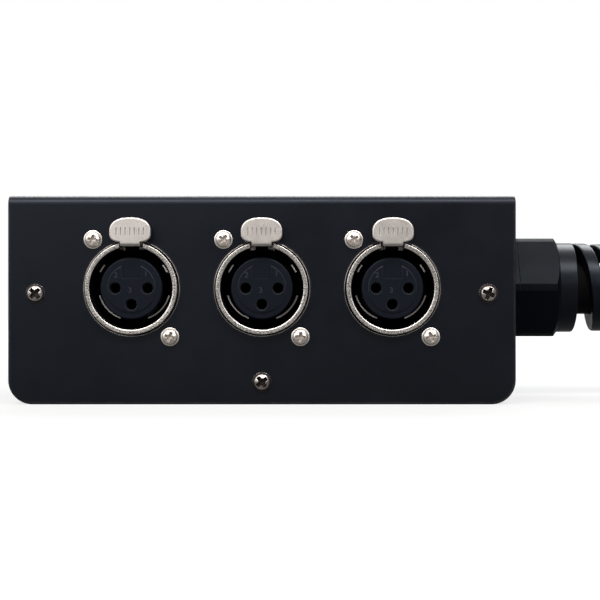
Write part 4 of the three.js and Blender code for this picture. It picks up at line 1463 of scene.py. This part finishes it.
@cache
def spiral_guard() -> Tree:
    """Builds the Geometry Nodes tree of the spiral bend guard, from the origin along +X.

    Returns:
        The tree.
    """
    sizes = ("Bore", "Root radius", "End radius", "Pitch", "Band", "Turns", "Root turn", "Root depth",
             "Corner power", "Slot power", "Run")
    board = Board.group("GeometryNodeTree", "spiral_guard", {
        "Start": "Geometry", **dict.fromkeys(sizes, "Float"), "Steps": "Int", "Section points": "Int",
        "Finish": "Material"}, {"Guard": "Geometry"})
    given = board.given
    grid = board.add("GeometryNodeMeshGrid", {"Size X": 1.0, "Size Y": 1.0, "Vertices X": given["Steps"],
                                              "Vertices Y": given["Section points"]})
    here = board.add("ShaderNodeSeparateXYZ", {0: board.add("GeometryNodeInputPosition").outputs[0]}).outputs
    u, v = board.sum("ADD", here[0], 0.5), board.sum("ADD", here[1], 0.5)
    first = board.times(given["Root turn"], -1.0)
    turn = board.sum("MULTIPLY_ADD", u, board.sum("ADD", given["Turns"], given["Root turn"]), first)
    onward = board.sum("MAXIMUM", turn, 0.0)
    half = board.sum("MINIMUM", board.times(board.sum("FRACT", onward), 2.0), 1.0)
    part = board.sum("POWER", half, given["Slot power"])
    moved = board.times(given["Pitch"], board.sum("ADD", board.sum("FLOOR", onward), part))
    rooted = board.times(board.sum("LESS_THAN", turn, 0.0001), given["Root depth"])
    left = board.sum("SUBTRACT", moved, rooted)
    right = board.sum("ADD", moved, given["Band"])
    middle = board.times(board.sum("ADD", left, right), 0.5)
    wide = board.times(board.sum("SUBTRACT", right, left), 0.5)
    taper = board.sum("SUBTRACT", given["End radius"], given["Root radius"])
    share = board.sum("DIVIDE", board.sum("MAXIMUM", middle, 0.0), given["Run"])
    outer = board.sum("MULTIPLY_ADD", taper, share, given["Root radius"])
    across = board.times(board.sum("ADD", outer, given["Bore"]), 0.5)
    tall = board.times(board.sum("SUBTRACT", outer, given["Bore"]), 0.5)
    ends = board.sum("GREATER_THAN", board.sum("MINIMUM", u, board.sum("SUBTRACT", 1.0, u)), 0.0001)
    round_turn = board.times(v, 2 * math.pi)
    power = board.sum("DIVIDE", 2.0, given["Corner power"])
    sides = []
    for name in ("COSINE", "SINE"):
        wave = board.sum(name, round_turn)
        size = board.sum("POWER", board.sum("ABSOLUTE", wave), power)
        sides.append(board.times(board.sum("SIGN", wave), size, ends))
    along = board.sum("MULTIPLY_ADD", sides[0], wide, middle)
    radius = board.sum("MULTIPLY_ADD", sides[1], tall, across)
    angle = board.times(turn, 2 * math.pi)
    y = board.times(radius, board.sum("SINE", angle), -1.0)
    z = board.times(radius, board.sum("COSINE", angle))
    place = board.add("ShaderNodeCombineXYZ", {0: along, 1: y, 2: z})
    shaped = board.add("GeometryNodeSetPosition", {"Geometry": grid.outputs[0], "Position": place.outputs[0]})
    merged = board.add("GeometryNodeMergeByDistance", {"Geometry": shaped.outputs[0], "Distance": 0.002})
    return board.deliver(merged.outputs[0])


@dataclass
class Gland:
    """The cable gland on the right end, drawn along +X from the end plate's outer face."""

    base: float = 62.45
    height: float = 29.2
    across_flats: float = 26.4
    corner_radius: float = 14.74
    seam: float = 0.1
    washer_radius: float = 13.0
    washer: float = 1.0
    thread_radius: float = 11.1
    thread_inside: float = 8.5
    body_hex: float = 4.3
    neck_radius: float = 10.2
    neck: float = 4.4
    bore: float = 7.6
    gap: float = 0.3
    nut_hex: float = 10.8
    nut_wall: float = 2.6
    chamfer: float = 0.4
    chamfer_angle: float = 34.0
    collar_radius: float = 12.15
    collar: float = 4.8
    pitch: float = 5.2
    slot_power: float = 0.65
    band: float = 3.5
    turns: float = 7.0
    root_turn: float = 112 / 360
    root_depth: float = 0.9
    corner_power: float = 7.0
    guard_steps: int = 360
    guard_sides: int = 33
    end_radius: float = 10.6
    end_ring: float = 3.0
    sleeve_radius: float = 7.2
    sleeve_bore: float = 5.6
    sleeve_reach: float = 6.0

    def hexagon(self, name: str, start: float, end: float, coned: bool) -> Blank:
        """Makes a hexagon along X whose corners are turned down, with a corner towards the front.

        Args:
            name: the piece's name.
            start: where it starts.
            end: where it ends.
            coned: cuts the far corners to a cone.

        Returns:
            The piece.
        """
        corner = self.across_flats / math.sqrt(3)
        outline = [(corner * math.cos(math.pi / 3 * i), corner * math.sin(math.pi / 3 * i)) for i in range(6)]
        body = prism(name, outline, Axis.X, start, end)
        top, foot = self.corner_radius, self.across_flats / 2 - self.chamfer
        drop = (top - foot) * math.tan(math.radians(self.chamfer_angle))
        far = [(top, end - drop), (foot, end)] if coned else [(top, end)]
        limits = turned("limits", [(0.0, start), (top, start), *far, (0.0, end)], Axis.X, 128)
        return body.shape(Shaping.KEEP, limits).tidy().soften(0.22, 3, 14)

    def tube(self, name: str, radius: float, bore: float, start: float, end: float, rounding: float) -> Blank:
        """Makes a tube along X with rounded ends.

        Args:
            name: the piece's name.
            radius: its outer radius.
            bore: its inner radius.
            start: where it starts.
            end: where it ends.
            rounding: the radius of its edges.

        Returns:
            The piece.
        """
        e = rounding
        profile = arc(start + e, radius - e, e, 180, 90, 4) + arc(end - e, radius - e, e, 90, 0, 4)
        profile += [(end, bore + e), (end - e, bore), (start + e, bore), (start, bore + e)]
        return turned(name, [(r, x) for x, r in profile + profile[:1]], Axis.X, 96)

    def is_flat(self, face: Vector) -> bool:
        """Says whether a face is on the hexagon."""
        end = self.washer + self.body_hex + self.gap + self.nut_hex
        return 0 < face.x < end - 0.05 and math.hypot(face.y, face.z) > self.collar_radius + 0.1

    def fix(self, piece: Blank, look: Look, slot: str, node: str, second: Look | None = None) -> None:
        """Moves a piece to the end plate and dresses it. Its flats are marked for its second finish.

        Args:
            piece: the piece.
            look: its finish.
            slot: the record's material slot.
            node: the CAD node that it stands for.
            second: the finish of its flats.
        """
        if second:
            piece.mark(self.is_flat)
        piece.put(self.base, 0.0, self.height).finish(look, slot, [node], second)

    def dress(self) -> None:
        """Makes and dresses the gland's pieces."""
        hex_end = self.washer + self.body_hex
        nut_start = hex_end + self.gap
        nut_end = nut_start + self.nut_hex
        collar_end = nut_end + self.collar
        washer = self.tube("gland_washer_ring", self.washer_radius, self.thread_radius + 0.3, 0.0,
                           self.washer, 0.25)
        self.fix(washer, Look.RUBBER, "seal_rubber", "gland_washer")

        body = self.hexagon("gland_body_hex", self.washer, hex_end, False)
        shank = self.tube("shank", self.thread_radius, self.bore, -self.thread_inside, self.washer + 0.5, 0.3)
        neck = self.tube("neck", self.neck_radius, self.bore, self.washer, hex_end + self.neck, 0.2)
        self.fix(body.gather(shank, neck), Look.NYLON, "gland_nylon", "gland_body", Look.FLATS)

        nut = self.hexagon("gland_nut_and_guard", hex_end + self.seam, nut_end, True)
        thread = self.across_flats / 2 - self.nut_wall
        cavity = turned("cavity", [(0.0, nut_start - 1), (thread, nut_start - 1), (thread, nut_end - 0.5),
                                   (self.bore, nut_end + 3), (self.bore, collar_end + 1),
                                   (0.0, collar_end + 1)], Axis.X, 96)
        collar_edge = [(r, x) for x, r in arc(collar_end - 0.4, self.collar_radius - 0.4, 0.4, 90, 0, 4)]
        collar = turned("collar", [(0.0, nut_end - 0.6), (self.collar_radius, nut_end - 0.6), *collar_edge,
                                   (0.0, collar_end)], Axis.X, 128)
        nut.shape(Shaping.JOIN, collar).shape(Shaping.CUT, cavity).tidy()
        length = self.pitch * self.turns + self.band
        sizes = {"Bore": self.bore, "Root radius": self.collar_radius, "End radius": self.end_radius,
                 "Pitch": self.pitch, "Band": self.band, "Turns": self.turns, "Root turn": self.root_turn,
                 "Root depth": self.root_depth, "Corner power": self.corner_power,
                 "Slot power": self.slot_power, "Run": length, "Steps": self.guard_steps,
                 "Section points": self.guard_sides, "Finish": Look.NYLON.material}
        guard = Blank("guard", [(0.0, 0.0, 0.0)]).modify("NODES", sizes, node_group=spiral_guard()).tidy()
        end = self.tube("end", self.end_radius, self.bore, length - 0.5, length + self.end_ring, 0.5)
        nut.gather(guard.put(collar_end), end.put(collar_end))
        self.fix(nut, Look.NYLON, "gland_nylon", "gland_nut_with_bend_guard", Look.FLATS)

        sleeve = self.tube("gland_sleeve_tube", self.sleeve_radius, self.sleeve_bore, hex_end,
                           collar_end + self.sleeve_reach, 0.6)
        self.fix(sleeve, Look.RUBBER, "seal_rubber", "gland_sealing_sleeve")


@dataclass
class HiddenPieces:
    """The CAD pieces that keep their shape and only get their finish, by the ends of their names."""

    looks: tuple[tuple[str, Look], ...] = (("latch_pin", Look.DARK_NICKEL), ("lock_nut", Look.NYLON),
                                           ("clamp_cage", Look.NYLON))

    def dress(self) -> None:
        """Gives each CAD node that still shows its material."""
        for name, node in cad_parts.items():
            for word, look in self.looks:
                if name.endswith(word):
                    node.data.materials.clear()
                    node.data.materials.append(look.material)
                    log.info("%s keeps its CAD shape", name)


@dataclass(frozen=True)
class Lamp:
    """One soft box. Its place and its width and height are in metres, its power in watts."""

    name: str
    place: Point3
    size: Point2
    power: float
    colour: Point3

    def hang(self, target: Point3) -> None:
        """Adds the lamp to the scene.

        Args:
            target: the point that it faces.
        """
        data = bpy.data.lights.new(self.name, "AREA")
        data.shape, data.size, data.size_y = "RECTANGLE", *self.size
        data.energy, data.color = self.power, self.colour
        lamp = linked(self.name, data)
        lamp.location = self.place
        lamp.rotation_euler = (Vector(target) - Vector(self.place)).to_track_quat("-Z", "Y").to_euler()


@dataclass
class Studio:
    """The camera, the lamps, the floor and the world. Lengths are in metres."""

    camera_place: Point3 = (0.0094, -0.422, 0.0258)
    lens: float = 92.34
    sensor: float = 36.0
    reach: Point2 = (0.01, 50.0)
    middle: Point3 = (0.02, 0.0, 0.025)
    room_light: float = 0.22
    floor_size: float = 3.0
    floor_colour: Point3 = (0.16, 0.16, 0.16)
    floor_mirrored: float = 0.06
    lamps: tuple[Lamp, ...] = (
        Lamp("key", (0.06, -0.56, 0.80), (1.3, 0.3), 12.0, (1.0, 0.985, 0.96)),
        Lamp("window", (-0.28, -0.46, 0.19), (0.6, 0.16), 0.66, (0.97, 0.985, 1.0)),
        Lamp("rear", (0.10, 0.62, 0.72), (0.9, 0.5), 8.0, (0.97, 0.985, 1.0)),
        Lamp("fill", (0.50, -0.80, 0.30), (0.4, 0.3), 1.1, (0.96, 0.98, 1.0)))

    def camera(self) -> None:
        """Sets the camera where the photograph was taken from."""
        data = bpy.data.cameras.new("camera")
        data.lens, data.sensor_width = self.lens, self.sensor
        data.clip_start, data.clip_end = self.reach
        camera = linked("camera", data)
        camera.location = self.camera_place
        camera.rotation_euler = (math.pi / 2, 0.0, 0.0)
        bpy.context.scene.camera = camera

    @staticmethod
    def seen(board: Board) -> tuple[Wire, Wire]:
        """Gives the masks of what the camera sees and of what glossy surfaces mirror."""
        path = board.add("ShaderNodeLightPath").outputs
        return board.sum("MAXIMUM", path["Is Camera Ray"], path["Is Transmission Ray"]), path["Is Glossy Ray"]

    def world(self) -> None:
        """Makes the world white to the eye, and a soft room with a light ceiling in reflections."""
        world = bpy.data.worlds.new("studio")
        board = Board.on(world)
        seen, glossy = self.seen(board)
        view = board.add("ShaderNodeTexCoord").outputs["Generated"]
        way = board.add("ShaderNodeSeparateXYZ", {0: view}).outputs
        right = board.spread(way[0], 0.0, 0.12)
        left = board.spread(way[0], 0.8, 0.0, -0.75, -0.15)
        ceiling = board.spread(way[2], 0.11, 1.0, 0.12, 0.85)
        room = board.sum("ADD", ceiling, board.sum("MAXIMUM", right, left))
        strength = board.sum("MAXIMUM", seen, board.times(glossy, room))
        strength = board.sum("MAXIMUM", strength, self.room_light)
        light = board.add("ShaderNodeBackground", {"Color": (1, 1, 1, 1), "Strength": strength})
        board.add("ShaderNodeOutputWorld", {0: light.outputs[0]})
        bpy.context.scene.world = world

    def floor(self) -> None:
        """Lays a white floor, drawn in metres, that keeps the box's shadow."""
        half = self.floor_size / 2
        outline = [(-half, -half, 0), (half, -half, 0), (half, half, 0), (-half, half, 0)]
        blank = Blank("floor", outline, [(0, 1, 2, 3)])
        material = bpy.data.materials.new("studio_floor")
        board = Board.on(material)
        seen, glossy = self.seen(board)
        away = board.add("ShaderNodeVectorMath", {0: board.add("ShaderNodeTexCoord").outputs["Object"]},
                         operation="LENGTH").outputs["Value"]
        white = board.spread(away, 0.74, 1.0, 0.12, 0.60)
        strength = board.sum("MAXIMUM", board.times(seen, white),
                             board.times(glossy, self.floor_mirrored))
        shader = board.add("ShaderNodeBsdfPrincipled", {
            "Base Color": shade(self.floor_colour), "Roughness": 0.9, "Specular IOR Level": 0.1,
            "Emission Color": (1, 1, 1, 1), "Emission Strength": strength})
        board.add("ShaderNodeOutputMaterial", {0: shader.outputs[0]})
        blank.thing.data.materials.append(material)

    def build(self) -> None:
        """Sets up the whole studio."""
        bpy.context.scene.view_settings.view_transform = "Standard"
        self.camera()
        self.world()
        self.floor()
        for lamp in self.lamps:
            lamp.hang(self.middle)


def main() -> None:
    """Builds the studio and every sub-assembly."""
    logging.basicConfig(level=logging.INFO, format="%(name)s: %(message)s")
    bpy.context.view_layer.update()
    Studio().build()
    box = Box()
    box.dress()
    Screws().dress(box)
    Socket().dress(box)
    Gland().dress()
    HiddenPieces().dress()


if __name__ == "__main__":
    main()
